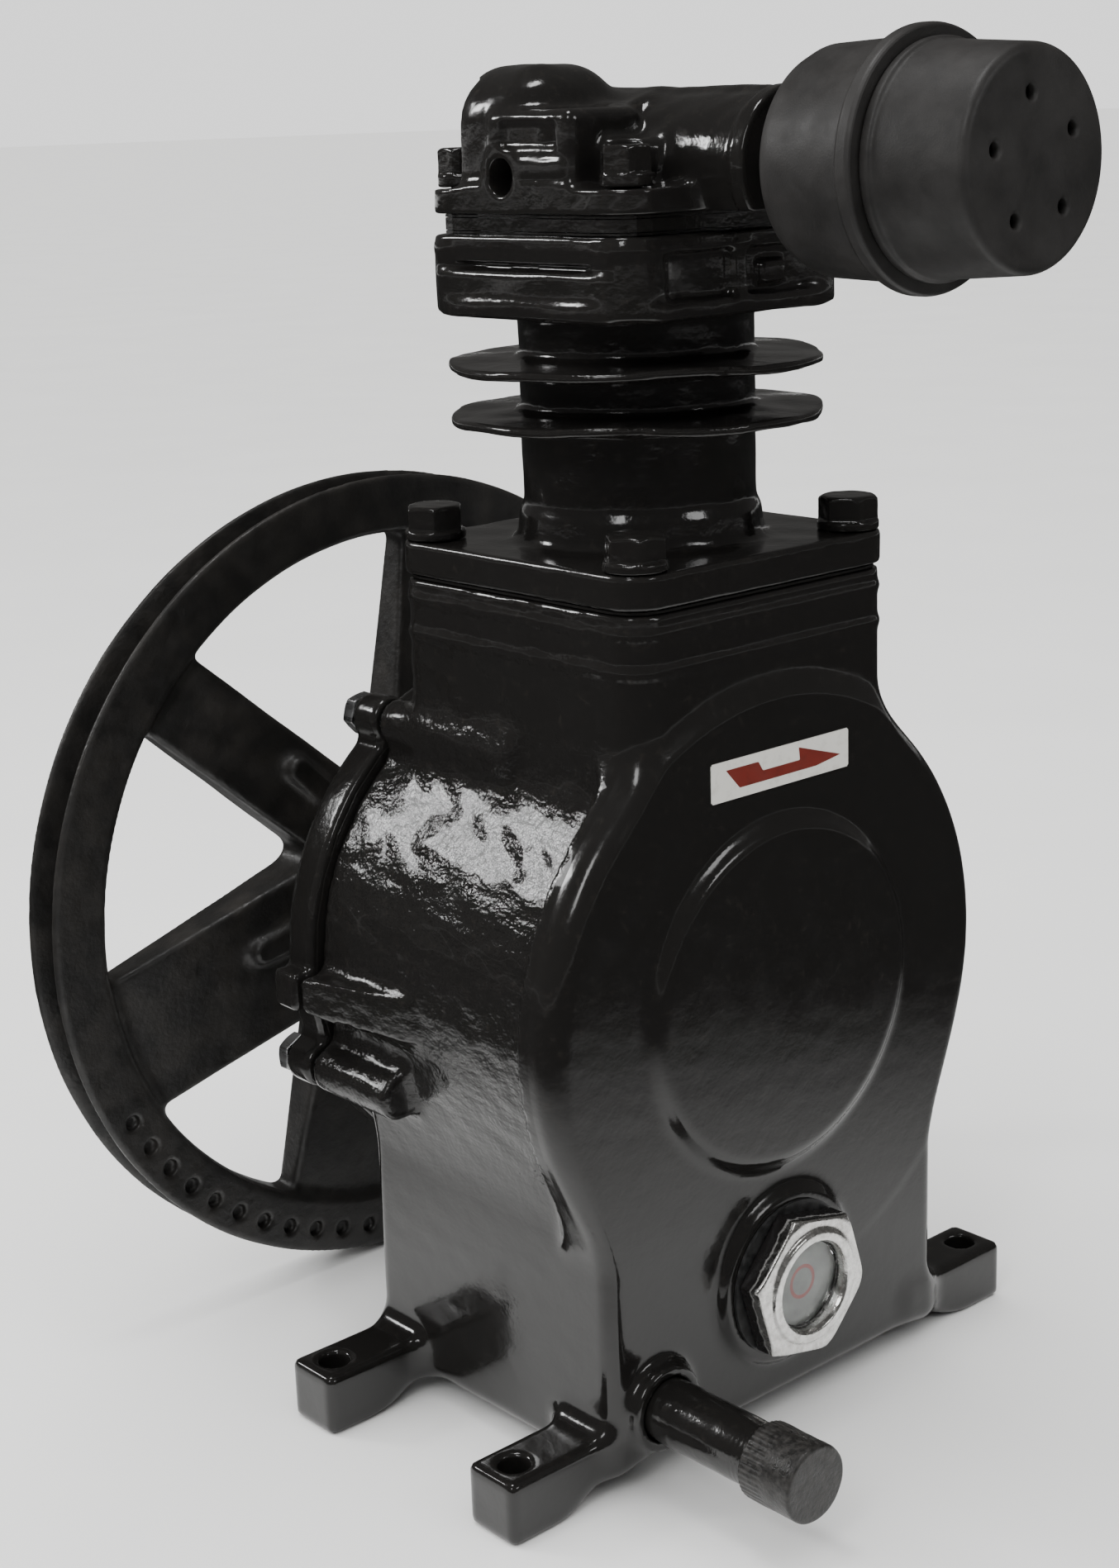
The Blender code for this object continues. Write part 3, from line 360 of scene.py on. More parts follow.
def dull(name, colour, roughness, grain_mm, depth_mm):
    """A matt sheet or foam material with its own grain."""
    made = Shader(name, colour, roughness)
    grain = made.noise(grain_mm, 4.0)
    light = tuple(min(1.0, c * 1.8 + 0.01) for c in colour)
    made.set("Base Color", made.mix(made.ramp(grain, 0.4, 0.7), colour, light))
    made.set("Roughness", made.ramp(grain, 0.3, 0.7, roughness - 0.1, min(1.0, roughness + 0.1)))
    made.set("Normal", made.bump(grain, depth_mm))
    return made.material


ENAMEL = enamel("black_enamel")
CASE_ENAMEL = enamel("black_enamel_cast", rough_case=True)
WHEEL = wheel_paint()
PLASTIC = moulded_plastic()
ZINC = zinc()
STEEL = metal("machined_steel", (0.55, 0.55, 0.56), 0.2, 0.4)
IRON = metal("machined_iron", (0.26, 0.26, 0.27), 0.3, 0.5)
ALLOY = metal("cast_alloy", (0.62, 0.62, 0.63), 0.3, 0.55, 3.0)
GASKET = dull("gasket_sheet", (0.05, 0.045, 0.04), 0.75, 0.8, 0.08)
RUBBER = dull("seal_rubber", (0.012, 0.012, 0.012), 0.45, 2.0, 0.05)
FOAM = dull("filter_foam", (0.09, 0.09, 0.09), 0.95, 1.6, 0.5)


def finish_piece(obj, material, slot, body, *nodes):
    obj.data.materials.clear()
    obj.data.materials.append(material)
    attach(obj, body)
    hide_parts(*nodes)
    return obj


# ---------------------------------------------------------------- castings


def capsule(field, axis, start, end, radius, low, high, edge):
    """A round-ended bar between two points across an axis, given a thickness along it."""
    a, b = field.across(axis, (0, 0, 0))
    run = (end[0] - start[0], end[1] - start[1])
    length = run[0] ** 2 + run[1] ** 2
    along = np.clip(((a - start[0]) * run[0] + (b - start[1]) * run[1]) / length, 0, 1)
    side = np.hypot(a - start[0] - along * run[0], b - start[1] - along * run[1]) - radius + edge
    ends = np.abs(field.axes[axis] - (low + high) / 2) - (high - low) / 2 + edge
    return rounded(side, ends, edge)


LOBE_ANGLES = (57, 123, 202, 270, 338)
LOBE_FRONTS = (0, 0, 28, 51, 28)
LOBE_CIRCLE = 95
LOBE_RADIUS = 8
BASE_BOLT_AT = 47.5
HEAD_BOLT_AT = 37.5
FOOT_Y = 47
FOOT_HOLE_X = 109
SIGNS = ((1, 1), (-1, 1), (-1, -1), (1, -1))
CRANK = (0, 0, CRANK_Z)
AXIS = (0, 0, 0)

# The crankcase: its faces, and the radii of its barrel and of the disc on its front.
CASE_FRONT = -60.4
CASE_REAR = 68.9
CASE_TOP = 283.8
BARREL_RADIUS = 88
DISC_RADIUS = 99.5
NECK_HALF = 57.5
SEAMS = ((264.5, 267.5), (276.5, 279))
CHAMBER_RADIUS = 76
FOOT_HOLE_RADIUS = 5.25

# The cylinder and its head.
CYLINDER_BORE = 32.5
FINS = ((336.2, 3), (353.0, 8))
HEAD_HALF = 48
HEAD_UNDERSIDE = 399.95
DISCHARGE_PORT = (0, 8, 411)
DISCHARGE_BORE = 5.5
INTAKE_BORE = 14.3

# The flywheel, with the belt groove in its rim.
WHEEL_RADIUS = 151
RIM_INSIDE = 129.5
RIM_FRONT = 137.4
RIM_REAR = 155.7
HUB_FRONT = 123
GROOVE_FLOOR = 138.5
BALANCE_HOLES = 11


def around(radius, angle):
    """X and Z of a point around the crankshaft's axis."""
    x, z = polar(radius, angle)
    return x, z + CRANK_Z


def crankcase():
    field = Field((-121, -67, -2), (121, 71, 286), 1.2)
    body = field.block((-78.5, -60.2, 7.6), (78.5, 60, CRANK_Z), 5.5)
    barrel = field.bar("Y", CRANK, BARREL_RADIUS, -52, 69, 1.0)
    body = join(body, barrel, 12)
    neck = field.prism("Z", AXIS, NECK_HALF, NECK_HALF, 11, 112, 283.9, 0.9)
    for low, high in SEAMS:
        seam = field.prism("Z", AXIS, NECK_HALF + 0.5, NECK_HALF + 0.5, 11.5, low, high, 1.2)
        wander = 0.5 * np.sin(field.x / 9) + 0.5 * np.sin(field.y / 7 + 1)
        neck = join(neck, seam + 0.12 * np.abs(wander), 1.5)
    body = join(body, neck, 9)
    disc = field.bar("Y", CRANK, DISC_RADIUS, CASE_FRONT, -36, 8)
    disc = np.maximum(disc, field.y + 45)
    body = join(body, disc, 9)
    body = np.maximum(body, CASE_FRONT - field.y)
    for angle, front in zip(LOBE_ANGLES, LOBE_FRONTS):
        start, end = around(78, angle), around(LOBE_CIRCLE, angle)
        lobe = capsule(field, "Y", start, end, LOBE_RADIUS, front, 68.8, 2.5)
        body = join(body, lobe, 5)
    lug = field.block((-99, 22, 138.6), (-78, 68.6, 151.6), 2.5)
    lug = np.maximum(lug, field.plane((-88.6, 22, 0), (-46.6, -10.4, 0)))
    body = join(body, lug, 5)
    for side_x, side_y in SIGNS:
        y = side_y * FOOT_Y
        ends = sorted((side_x * 64, side_x * 119.3))
        foot = field.block((ends[0], y - 11, 0), (ends[1], y + 11, 21.6), 2.6)
        underside = field.plane((side_x * 91, 0, 0), (-side_x * 0.5, 0, -0.87))
        foot = cut(foot, -underside, 6)
        body = join(body, foot, 8)
    sight = (0, 0, SIGHT_Z)
    drain = (DRAIN_X, 0, DRAIN_Z)
    body = join(body, field.bar("Y", sight, 30, -63.5, -50, 1.6), 4)
    body = join(body, field.bar("Y", drain, 14.5, -66, -50, 1.2), 4)
    panel = field.cone("Y", CRANK, 56.5, 61.8, -64.2, -58, 1.6)
    body = join(body, panel, 2.0)
    ripple = field.waves(34, 5) * 0.25 + field.waves(13, 9) * 0.16
    barrel_only = np.clip((field.z - 95) / 25, 0.15, 1)
    body = body + ripple * np.clip((field.y + 50) / 8, 0.12, 1) * barrel_only
    body = np.maximum(body, field.y - CASE_REAR)
    body = np.maximum(body, field.z - CASE_TOP)
    body = cut(body, field.bar("Y", CRANK, CHAMBER_RADIUS, -50, 90, 1))
    body = cut(body, field.block((-68, -50.5, 17), (68, 50, CRANK_Z), 6))
    body = cut(body, field.bar("Z", AXIS, 42, 190, 300))
    body = cut(body, field.bar("Y", sight, 17, -80, -45))
    body = cut(body, field.bar("Y", drain, 10.9, -80, -45))
    for side_x, side_y in SIGNS:
        hole = (side_x * FOOT_HOLE_X, side_y * FOOT_Y, 0)
        body = cut(body, field.bar("Z", hole, FOOT_HOLE_RADIUS, -8, 40), 0.8)
        tapped = (side_x * BASE_BOLT_AT, side_y * BASE_BOLT_AT, 0)
        body = cut(body, field.bar("Z", tapped, 5.2, 262, 300))
    for angle in LOBE_ANGLES:
        x, z = around(LOBE_CIRCLE, angle)
        body = cut(body, field.bar("Y", (x, 0, z), 4.3, 52, 90))
    level = np.maximum(body, -field.z + 0.05)
    made = field.mesh("crankcase_casting", level)
    return finish_piece(made, CASE_ENAMEL, "cast_black", "root", "crankcase")


def rear_carrier():
    field = Field((-104, 37, CRANK_Z - 104), (104, 119, CRANK_Z + 104), 1.2)
    radius = field.radius("Y", CRANK)
    rim = field.bar("Y", CRANK, 92, 70.2, 84, 1.6)
    hub = field.cone("Y", CRANK, 44, 37, 70.2, 118, 1.6)
    body = join(rim, hub, 8)
    body = join(body, field.bar("Y", CRANK, 75.6, 64, 72, 0.6))
    body = join(body, field.bar("Y", CRANK, 44, 38, 72, 0.8), 2)
    for angle in LOBE_ANGLES:
        start, end = around(80, angle), around(LOBE_CIRCLE, angle)
        lobe = capsule(field, "Y", start, end, LOBE_RADIUS, 70.4, 83.4, 1.6)
        body = join(body, lobe, 3)
        rib = capsule(field, "Y", around(40, angle), around(80, angle), 3.2, 80, 88, 1.5)
        body = join(body, np.maximum(rib, field.y - 97 + radius * 0.13), 4)
    lug = field.block((-99.2, 70.6, 138.6), (-80, 83.1, 151.6), 1.6)
    body = join(body, lug, 2)
    body = body + field.waves(24, 31) * 0.12
    body = np.maximum(body, field.y - 118)
    body = cut(body, field.bar("Y", CRANK, 31.3, 30, 56.3, 0.5))
    body = cut(body, field.bar("Y", CRANK, 31.3, 95.7, 130, 0.5))
    body = cut(body, field.bar("Y", CRANK, 26, 30, 130, 0.5))
    for angle in LOBE_ANGLES:
        x, z = around(LOBE_CIRCLE, angle)
        body = cut(body, field.bar("Y", (x, 0, z), 4.5, 60, 90))
    made = field.mesh("bearing_carrier_casting", body)
    return finish_piece(made, ENAMEL, "cast_black", "root", "rear_bearing_carrier")


def cylinder():
    field = Field((-61.5, -61.5, 261), (61.5, 61.5, 394.5), 0.85)
    radius = field.radius("Z", AXIS)
    body = field.prism("Z", AXIS, 58, 58, 11, 285.3, 296.2, 1.3)
    body = join(body, field.cone("Z", AXIS, 42, 38, 288, 306, 1), 3)
    body = join(body, field.bar("Z", AXIS, 37.7, 290, 380, 1), 4)
    turn = np.arctan2(field.y, field.x)
    for height, seed in FINS:
        sway = 0.55 * np.sin(3 * turn + seed) + 0.35 * np.sin(7 * turn + 2 * seed)
        middle = height - 0.3 + sway * np.clip((radius - 40) / 20, 0, 1)
        half = 1.35 + 1.1 * np.clip((60 - radius) / 22, 0, 1)
        chip = 2.2 * np.exp(-(((turn + 2.62 - 0.1 * seed) / 0.05) ** 2))
        reach = 59.7 + 0.45 * np.sin(5 * turn + seed) - chip
        fin = rounded(radius - reach + 0.8, np.abs(field.z - middle) - half + 0.8, 0.8)
        body = join(body, fin, 2.2)
    lip = field.prism("Z", AXIS, 48.6, 48.6, 20, 368.6, 374.2, 1.6)
    core = field.prism("Z", AXIS, 44.5, 44.5, 10, 371, 390, 1)
    body = join(join(body, lip, 2.5), core, 1.5)
    for side_x, side_y in SIGNS:
        where = (side_x * 37, side_y * 37, 0)
        body = join(body, field.bar("Z", where, 10.8, 369.5, 391, 1), 2.2)
    top = field.prism("Z", AXIS, HEAD_HALF, HEAD_HALF, 12, 388.4, 393.6, 1.0)
    body = join(body, top, 1.6)
    side_wall = field.block((-48.2, -40, 369), (-30, 40, 383), 1.6)
    body = join(body, side_wall, 1.5)
    ledge = field.block((-47.6, -40, 385.5), (-30, 40, 388.5), 1.0)
    body = join(body, ledge, 1.2)
    rib = field.block((-3.5, -47.6, 370), (2.5, -30, 391), 1.4)
    body = join(body, rib, 2.0)
    lug = field.block((9, -47.4, 377), (20, -40, 384), 1.8)
    body = join(body, lug, 1.4)
    body = body + field.waves(17, 12) * 0.14
    body = join(body, field.bar("Z", AXIS, 36.5, 262, 292, 0.8))
    body = cut(body, field.bar("Z", AXIS, CYLINDER_BORE, 240, 420))
    for side_x, side_y in SIGNS:
        hole = (side_x * BASE_BOLT_AT, side_y * BASE_BOLT_AT, 0)
        body = cut(body, field.bar("Z", hole, 5.4, 270, 310))
        tapped = (side_x * HEAD_BOLT_AT, side_y * HEAD_BOLT_AT, 0)
        body = cut(body, field.bar("Z", tapped, 4.4, 374, 410))
    return finish_piece(field.mesh("cylinder_casting", body), ENAMEL, "cast_black", "root", "cylinder")


def cylinder_head():
    field = Field((-49, -71, 398.5), (49, 49, 451), 0.65)
    intake_axis = (0, 0, FILTER_Z)
    body = field.prism("Z", AXIS, HEAD_HALF, HEAD_HALF, 13, 399.9, 407.6, 1.0)
    deck = field.prism("Z", AXIS, 35.5, 35.5, 12, 404, 421.5, 3.5)
    body = join(body, deck, 3)
    tube = field.bar("Y", intake_axis, 21.3, -66, 20, 2)
    body = join(body, tube, 4)
    collar = field.bar("Y", intake_axis, 22.4, -69.5, -63.5, 1.2)
    body = join(body, collar, 1.5)
    dome = field.block((-46.2, -8, 380), (-1, 41, 444), 18)
    body = join(body, dome, 4)
    bead = field.block((-47.4, 18, 380), (-4, 25, 444.8), 17)
    bead = np.maximum(bead, np.abs(field.y - 22) - 3.2)
    body = join(body, bead, 2.5)
    port = field.block((-47.5, -24, 404), (-18, 14, 430.5), 3.2)
    body = join(body, port, 3)
    sill = field.block((-48.2, -21, 411.5), (-20, 11, 416), 1.8)
    body = join(body, sill, 1.5)
    boss = field.bar("X", DISCHARGE_PORT, 9.5, -48.0, -30, 1.6)
    body = join(body, boss, 1.5)
    body = cut(body, field.block((-60, -17, 419.5), (-46.4, 7, 427), 1.4), 1.2)
    gusset = capsule(field, "Y", (-20, 426), (-4, 430), 4.0, -18, 12, 2)
    body = join(body, gusset, 5)
    spine = field.block((-3.5, -60, 424), (3.5, 16, 435), 2)
    body = join(body, spine, 3)
    body = body + field.waves(13, 21) * 0.18
    body = np.maximum(body, np.abs(field.x) - HEAD_HALF)
    body = np.maximum(body, field.y - HEAD_HALF)
    body = np.maximum(body, field.plane((0, 0, HEAD_UNDERSIDE), (0, 0, -1)))
    for low, high in ((-29, -3), (3, 29)):
        body = cut(body, field.block((-30, low, 390), (30, high, 416), 4))
    body = cut(body, field.bar("Y", intake_axis, INTAKE_BORE, -80, -20))
    body = cut(body, field.bar("X", DISCHARGE_PORT, DISCHARGE_BORE, -60, -20), 0.8)
    for side_x, side_y in SIGNS:
        where = (side_x * HEAD_BOLT_AT, side_y * HEAD_BOLT_AT, 0)
        body = cut(body, field.bar("Z", where, 10.8, 407.6, 440, 0.8), 0.8)
        body = cut(body, field.bar("Z", where, 4.7, 380, 420))
    made = field.mesh("cylinder_head_casting", body)
    return finish_piece(made, ENAMEL, "cast_black", "root", "cylinder_head")


# Each spoke's angle in degrees and its width. The wide ones are the balance weight.
SPOKES = ((18, 32), (78, 32), (138, 32), (198, 55), (258, 64), (318, 55))


def flywheel():
    field = Field((-152, 122, CRANK_Z - 152), (152, 157, CRANK_Z + 152), 0.95)
    radius = field.radius("Y", CRANK)
    middle = (RIM_FRONT + RIM_REAR) / 2
    rim = field.bar("Y", CRANK, WHEEL_RADIUS, RIM_FRONT, RIM_REAR, 1.4)
    rim = cut(rim, field.cone("Y", CRANK, 133.5, 129.0, 130, 142.5, 0.5), 1)
    rim = cut(rim, field.cone("Y", CRANK, 129.0, 133.5, 150.5, 163, 0.5), 1)
    rim = np.maximum(rim, RIM_INSIDE - radius)
    half = 3.6 + 3.0 * (radius - GROOVE_FLOOR) / 12.5
    groove = rounded(np.abs(field.y - middle) - half + 0.8, GROOVE_FLOOR - radius + 0.8, 0.8)
    rim = cut(rim, groove, 0.6)
    x, z = field.x, field.z - CRANK_Z
    sides = radius - 42
    for angle, width in SPOKES:
        out = polar(1, angle)
        along = x * out[0] + z * out[1]
        across = np.abs(x * out[1] - z * out[0]) - width / 2
        sides = join(sides, np.maximum(across, -along), 8)
    front = np.interp(radius, (0, 28, 31, 60, 127.5), (HUB_FRONT, HUB_FRONT, 127, 132, 140.4))
    rear = np.interp(radius, (0, 30, 40, 127.5), (146, 146, 150.5, 151.5))
    ends = np.maximum(front - field.y, field.y - rear)
    web = rounded(np.maximum(sides, radius - 131) + 2.5, ends + 2.5, 2.5)
    body = join(rim, web, 4)
    body = join(body, field.bar("Y", CRANK, 29.5, HUB_FRONT, 146, 1.5), 3)
    for angle in (134, 191):
        start, end = around(58, angle), around(71, angle)
        body = join(body, capsule(field, "Y", start, end, 4.5, 128.5, 138, 2), 4)
    for index in range(BALANCE_HOLES):
        hole_x, hole_z = around(142, 207.5 + 5.25 * index)
        body = cut(body, field.bar("Y", (hole_x, 0, hole_z), 2.9, 130, 140.2, 1.0), 0.5)
    body = body + field.waves(40, 44) * 0.10
    body = cut(body, field.bar("Y", CRANK, 12.85, 100, 170))
    body = cut(body, field.block((-3.3, 120, CRANK_Z + 8), (3.3, 150, CRANK_Z + 16.3), 0.3))
    body = np.maximum(body, radius - WHEEL_RADIUS)
    body = np.maximum(body, HUB_FRONT - field.y)
    made = field.mesh("flywheel_casting", body)
    return finish_piece(made, WHEEL, "wheel_black", "crank", "flywheel")


# ---------------------------------------------------------------- fasteners and fittings


def hex_bolt(node, body, material, slot, axis, across, head, washer, shank, turn):
    """A hex-head bolt whose head is at the high end of its axis, filling its CAD node's length."""
    low, high = corners(node)
    index = "XYZ".index(axis)
    centre = [(a + b) / 2 for a, b in zip(low, high)]
    reach = across / 2 / math.cos(math.pi / 6) * 1.04 + 1.5
    edges = [(c - reach, c + reach) for c in centre]
    edges[index] = (low[index] - 1, high[index] + 1)
    field = Field([e[0] for e in edges], [e[1] for e in edges], 0.38)
    top = high[index]
    body_low = top - head
    shape = field.hexagon(axis, centre, across, body_low, top, turn, 0.45)
    cap = list(centre)
    cap[index] = top - across * 0.86
    away = field.radius(axis, centre)
    along = field.axes[axis] - cap[index]
    crown = np.sqrt(away * away + along * along) - across * 0.98
    shape = -join(-shape, -crown, 0.3)
    if washer:
        collar = field.bar(axis, centre, reach - 1.7, body_low - washer, body_low + 0.4, 0.6)
        shape = join(shape, collar, 0.5)
    shape = join(shape, field.bar(axis, centre, shank, low[index], body_low, 0.5))
    shape = shape + field.waves(5, 60) * 0.05
    return finish_piece(field.mesh(node + "_hex", shape), material, slot, body, node)


BASE_BOLT = {"axis": "Z", "across": 17, "head": 8.5, "washer": 2.5, "shank": 4.9}
HEAD_BOLT = {"axis": "Z", "across": 14, "head": 8.5, "washer": 3.5, "shank": 4.1}
CARRIER_BOLT = {"axis": "Y", "across": 13, "head": 5.5, "washer": 0, "shank": 3.9}
WHEEL_BOLT = {"axis": "Y", "across": 17, "head": 7.4, "washer": 0, "shank": 4.9}


def bolts():
    for index in range(1, 5):
        spin = -CAMERA_TURN + 7 * (index - 2)
        hex_bolt(f"base_bolt_{index}", "root", ENAMEL, "cast_black", turn=spin, **BASE_BOLT)
        spin = 10 + 23 * index
        hex_bolt(f"head_bolt_{index}", "root", ENAMEL, "cast_black", turn=spin, **HEAD_BOLT)
    for index in range(1, 6):
        spin = 8 + 17 * index
        hex_bolt(f"carrier_bolt_{index}", "root", STEEL, "bright_steel", turn=spin, **CARRIER_BOLT)
    hex_bolt("flywheel_bolt", "crank", STEEL, "bright_steel", turn=12, **WHEEL_BOLT)


def turned_shell(name, profile, centre, smooth=0.35, sides=96):
    """A ring of (radius, y) points turned about a line along Y, with its corners rounded."""
    bm = bmesh.new()
    rings = []
    for step in range(sides):
        turn = 2 * math.pi * step / sides
        ring = []
        for radius, y in profile:
            x = centre[0] + radius * math.cos(turn)
            z = centre[2] + radius * math.sin(turn)
            ring.append(bm.verts.new((x * MM, y * MM, z * MM)))
        rings.append(ring)
    count = len(profile)
    for step in range(sides):
        first, second = rings[step], rings[(step + 1) % sides]
        for i in range(count):
            j = (i + 1) % count
            bm.faces.new((first[i], first[j], second[j], second[i]))
    bmesh.ops.remove_doubles(bm, verts=bm.verts, dist=1e-6)
    bmesh.ops.recalc_face_normals(bm, faces=bm.faces)
    mesh = bpy.data.meshes.new(name)
    bm.to_mesh(mesh)
    bm.free()
    mesh.shade_smooth()
    obj = bpy.data.objects.new(name, mesh)
    bpy.context.scene.collection.objects.link(obj)
    edge = obj.modifiers.new("edges", "BEVEL")
    edge.width = smooth * MM
    edge.segments = 3
    edge.limit_method = "ANGLE"
    edge.angle_limit = math.radians(24)
    edge.harden_normals = True
    return obj


def air_filter():
    centre = (0, 0, FILTER_Z)
    profile = [
        (13.8, -56), (13.8, -78.6), (22, -79.6), (27.5, -81.4), (31, -84.6), (32.8, -89), (33.6, -112),
        (34.2, -116), (36.4, -117.2), (37.1, -118.4), (37.1, -121.6), (36.4, -122.9), (30.5, -122.9),
        (30.5, -90), (20, -84.6), (10, -84.5), (10, -56),
    ]
    base = turned_shell("filter_base_moulding", profile, centre, 0.5)
    finish_piece(base, PLASTIC, "filter_plastic", "root", "filter_base")
    field = Field((-34.5, -158, FILTER_Z - 34.5), (34.5, -122.5, FILTER_Z + 34.5), 0.5)
    shape = field.cone("Y", centre, 30.4, 32.6, -157, -123.3, 2.4)
    shape = join(shape, field.bar("Y", centre, 33.3, -126.2, -123.3, 0.5), 1.2)
    shape = np.maximum(shape, -157 - field.y)
    shape = np.maximum(shape, field.y + 123.3)
    shape = cut(shape, field.cone("Y", centre, 28, 29.4, -153.5, -120, 1))
    for index in range(5):
        x, z = polar(17.7, 98 + 72 * index)
        shape = cut(shape, field.bar("Y", (x, 0, z + FILTER_Z), 2.0, -165, -150, 0.3), 0.9)
    cap = field.mesh("filter_cap_moulding", shape)
    finish_piece(cap, PLASTIC, "filter_plastic", "root", "filter_cap")


def sight_glass():
    centre = (0, 0, SIGHT_Z)
    field = Field((-28.5, -76.5, SIGHT_Z - 28.5), (28.5, -51, SIGHT_Z + 28.5), 0.42)
    across = 46.3
    shape = field.hexagon("Y", centre, across, -74, -65.2, 17, 0.7)
    chamfer = (field.radius("Y", centre) - 24.4) * 0.5 - (field.y + 74) * 0.87
    shape = cut(shape, -chamfer, 0.5)
    shape = join(shape, field.bar("Y", centre, 19.6, -75.4, -70, 1.1), 1.0)
    shape = join(shape, field.bar("Y", centre, 16.5, -66, -52, 0.5))
    shape = cut(shape, field.cone("Y", centre, 16.6, 15.2, -76.5, -73.6, 0.2), 0.5)
    shape = cut(shape, field.bar("Y", centre, 15.2, -80, -66, 0.3))
    shape = cut(shape, field.bar("Y", centre, 11, -80, -40, 0.3))
    finish_piece(field.mesh("sight_nut_ring", shape), PAINTED_ZINC, "zinc_plate", "root", "sight_nut")
    profile = [
        (0.01, -71.1), (9, -71.35), (13.6, -71.3), (14.6, -70.9), (14.9, -70.2), (14.9, -68.2),
        (14.4, -67.6), (0.01, -67.6),
    ]
    lens = turned_shell("sight_lens_glass", profile, centre, 0.1)
    finish_piece(lens, GLASS, "sight_glass", "root", "sight_lens")
    profile = [(0.01, -67.28), (14.5, -67.28), (14.88, -67.0), (14.88, -66.4), (0.01, -66.32)]
    backing = turned_shell("sight_backing_disc", profile, centre, 0.08)
    finish_piece(backing, BACKING, "sight_backing", "root", "sight_backing")


def drain():
    centre = (DRAIN_X, 0, DRAIN_Z)
    field = Field((DRAIN_X - 12, -122, DRAIN_Z - 12), (DRAIN_X + 12, -51, DRAIN_Z + 12), 0.5)
    radius = field.radius("Y", centre)
    taper = 10.55 - 0.35 * np.clip((-field.y - 98) / 20, 0, 1)
    pitch = 1.8
    thread = 0.28 * np.abs((field.y / pitch) % 1 - 0.5) * np.clip((-field.y - 100) / 3, 0, 1)
    side = radius - taper + thread + 0.5
    ends = np.abs(field.y + 86.5) - 34.5 + 0.5
    shape = rounded(side, ends, 0.5)
    shape = join(shape, field.bar("Y", centre, 10.6, -76, -70, 1.5), 0.5)
    shape = shape + field.waves(14, 70) * 0.06
    shape = cut(shape, field.bar("Y", centre, 7.5, -140, -40))
    finish_piece(field.mesh("drain_nipple_pipe", shape), ENAMEL, "cast_black", "root", "drain_nipple")
    field = Field((DRAIN_X - 14, -130, DRAIN_Z - 14), (DRAIN_X + 14, -107, DRAIN_Z + 14), 0.42)
    shape = field.bar("Y", centre, 12.6, -129, -107.8, 1.0)
    turn = np.arctan2(field.z - DRAIN_Z, field.x - DRAIN_X)
    knurl = 0.12 * np.cos(44 * turn) * np.clip((field.y + 118) / 2, 0, 1)
    shape = shape + knurl + field.waves(8, 71) * 0.06
    shape = np.maximum(shape, -129 - field.y)
    shape = cut(shape, field.bar("Y", centre, 10.9, -123.5, -100, 0.4))
    finish_piece(field.mesh("drain_cap_casting", shape), CAP_ENAMEL, "cast_black", "root", "drain_cap")


def flat_piece(name, outline, low_y, high_y, corner):
    """A flat shape in X, Z, given a thickness along Y, with its outline's corners rounded a little."""
    bm = bmesh.new()
    front = [bm.verts.new((x * MM, low_y * MM, z * MM)) for x, z in outline]
    face = bm.faces.new(front)
    made = bmesh.ops.extrude_face_region(bm, geom=[face])
    moved = [v for v in made["geom"] if isinstance(v, bmesh.types.BMVert)]
    bmesh.ops.translate(bm, verts=moved, vec=(0, (high_y - low_y) * MM, 0))
    half = 0.5 * abs(high_y - low_y) * MM
    upright = [e for e in bm.edges if abs(e.verts[0].co.y - e.verts[1].co.y) > half]
    bmesh.ops.bevel(bm, geom=upright, offset=corner * MM, segments=3, affect="EDGES")
    bmesh.ops.recalc_face_normals(bm, faces=bm.faces)
    mesh = bpy.data.meshes.new(name)
    bm.to_mesh(mesh)
    bm.free()
    obj = bpy.data.objects.new(name, mesh)
    bpy.context.scene.collection.objects.link(obj)
    return obj


def direction_label():
    """A plain label with a generic arrow for the way the crank turns."""
    left, right, low, high = -30.2, 32.6, 221.8, 234.6
    outline = [(left, low), (right, low), (right, high), (left, high)]
    label = flat_piece("direction_label", outline, -60.72, -60.42, 0.5)
    finish_piece(label, LABEL, "sight_backing", "root")
    middle = (low + high) / 2
    arrow = [
        (-25, 3.4), (-19, -3.2), (16, -3.2), (27.5, -1.6), (8, 4.4), (8.5, 0.2), (-8.5, 0.2), (-10.5, 3.4),
    ]
    arrow = [(x + 1.2, z + middle) for x, z in arrow]
    red = flat_piece("direction_arrow", arrow, -60.80, -60.70, 0.2)
    finish_piece(red, ARROW, "sight_backing", "root")


# ---------------------------------------------------------------- materials of single pieces


def painted_zinc():
    """Bright zinc whose side flats were caught by the black brush."""
    made = Shader("painted_zinc", (0.78, 0.77, 0.74), 0.2, 1.0)
    scuff = made.ramp(made.noise(3.0, 6.0, rough=0.7), 0.42, 0.75)
    bare = made.mix(scuff, (0.82, 0.81, 0.79), (0.46, 0.45, 0.43))
    depth = made.coordinate(1)
    ragged = made.math("MULTIPLY", made.math("SUBTRACT", made.noise(5.0, 5.0), 0.5), 0.006)
    edge = made.math("ADD", depth, ragged)
    paint = made.ramp(edge, -0.0712, -0.0700)
    made.set("Base Color", made.mix(paint, bare, (0.010, 0.009, 0.009)))
    made.set("Metallic", made.math("SUBTRACT", 1.0, paint))
    made.set("Roughness", made.ramp(made.noise(2.5, 5.0), 0.3, 0.75, 0.12, 0.36))
    made.set("Normal", made.bump(made.noise(1.6, 4.0), 0.10))
    return made.material


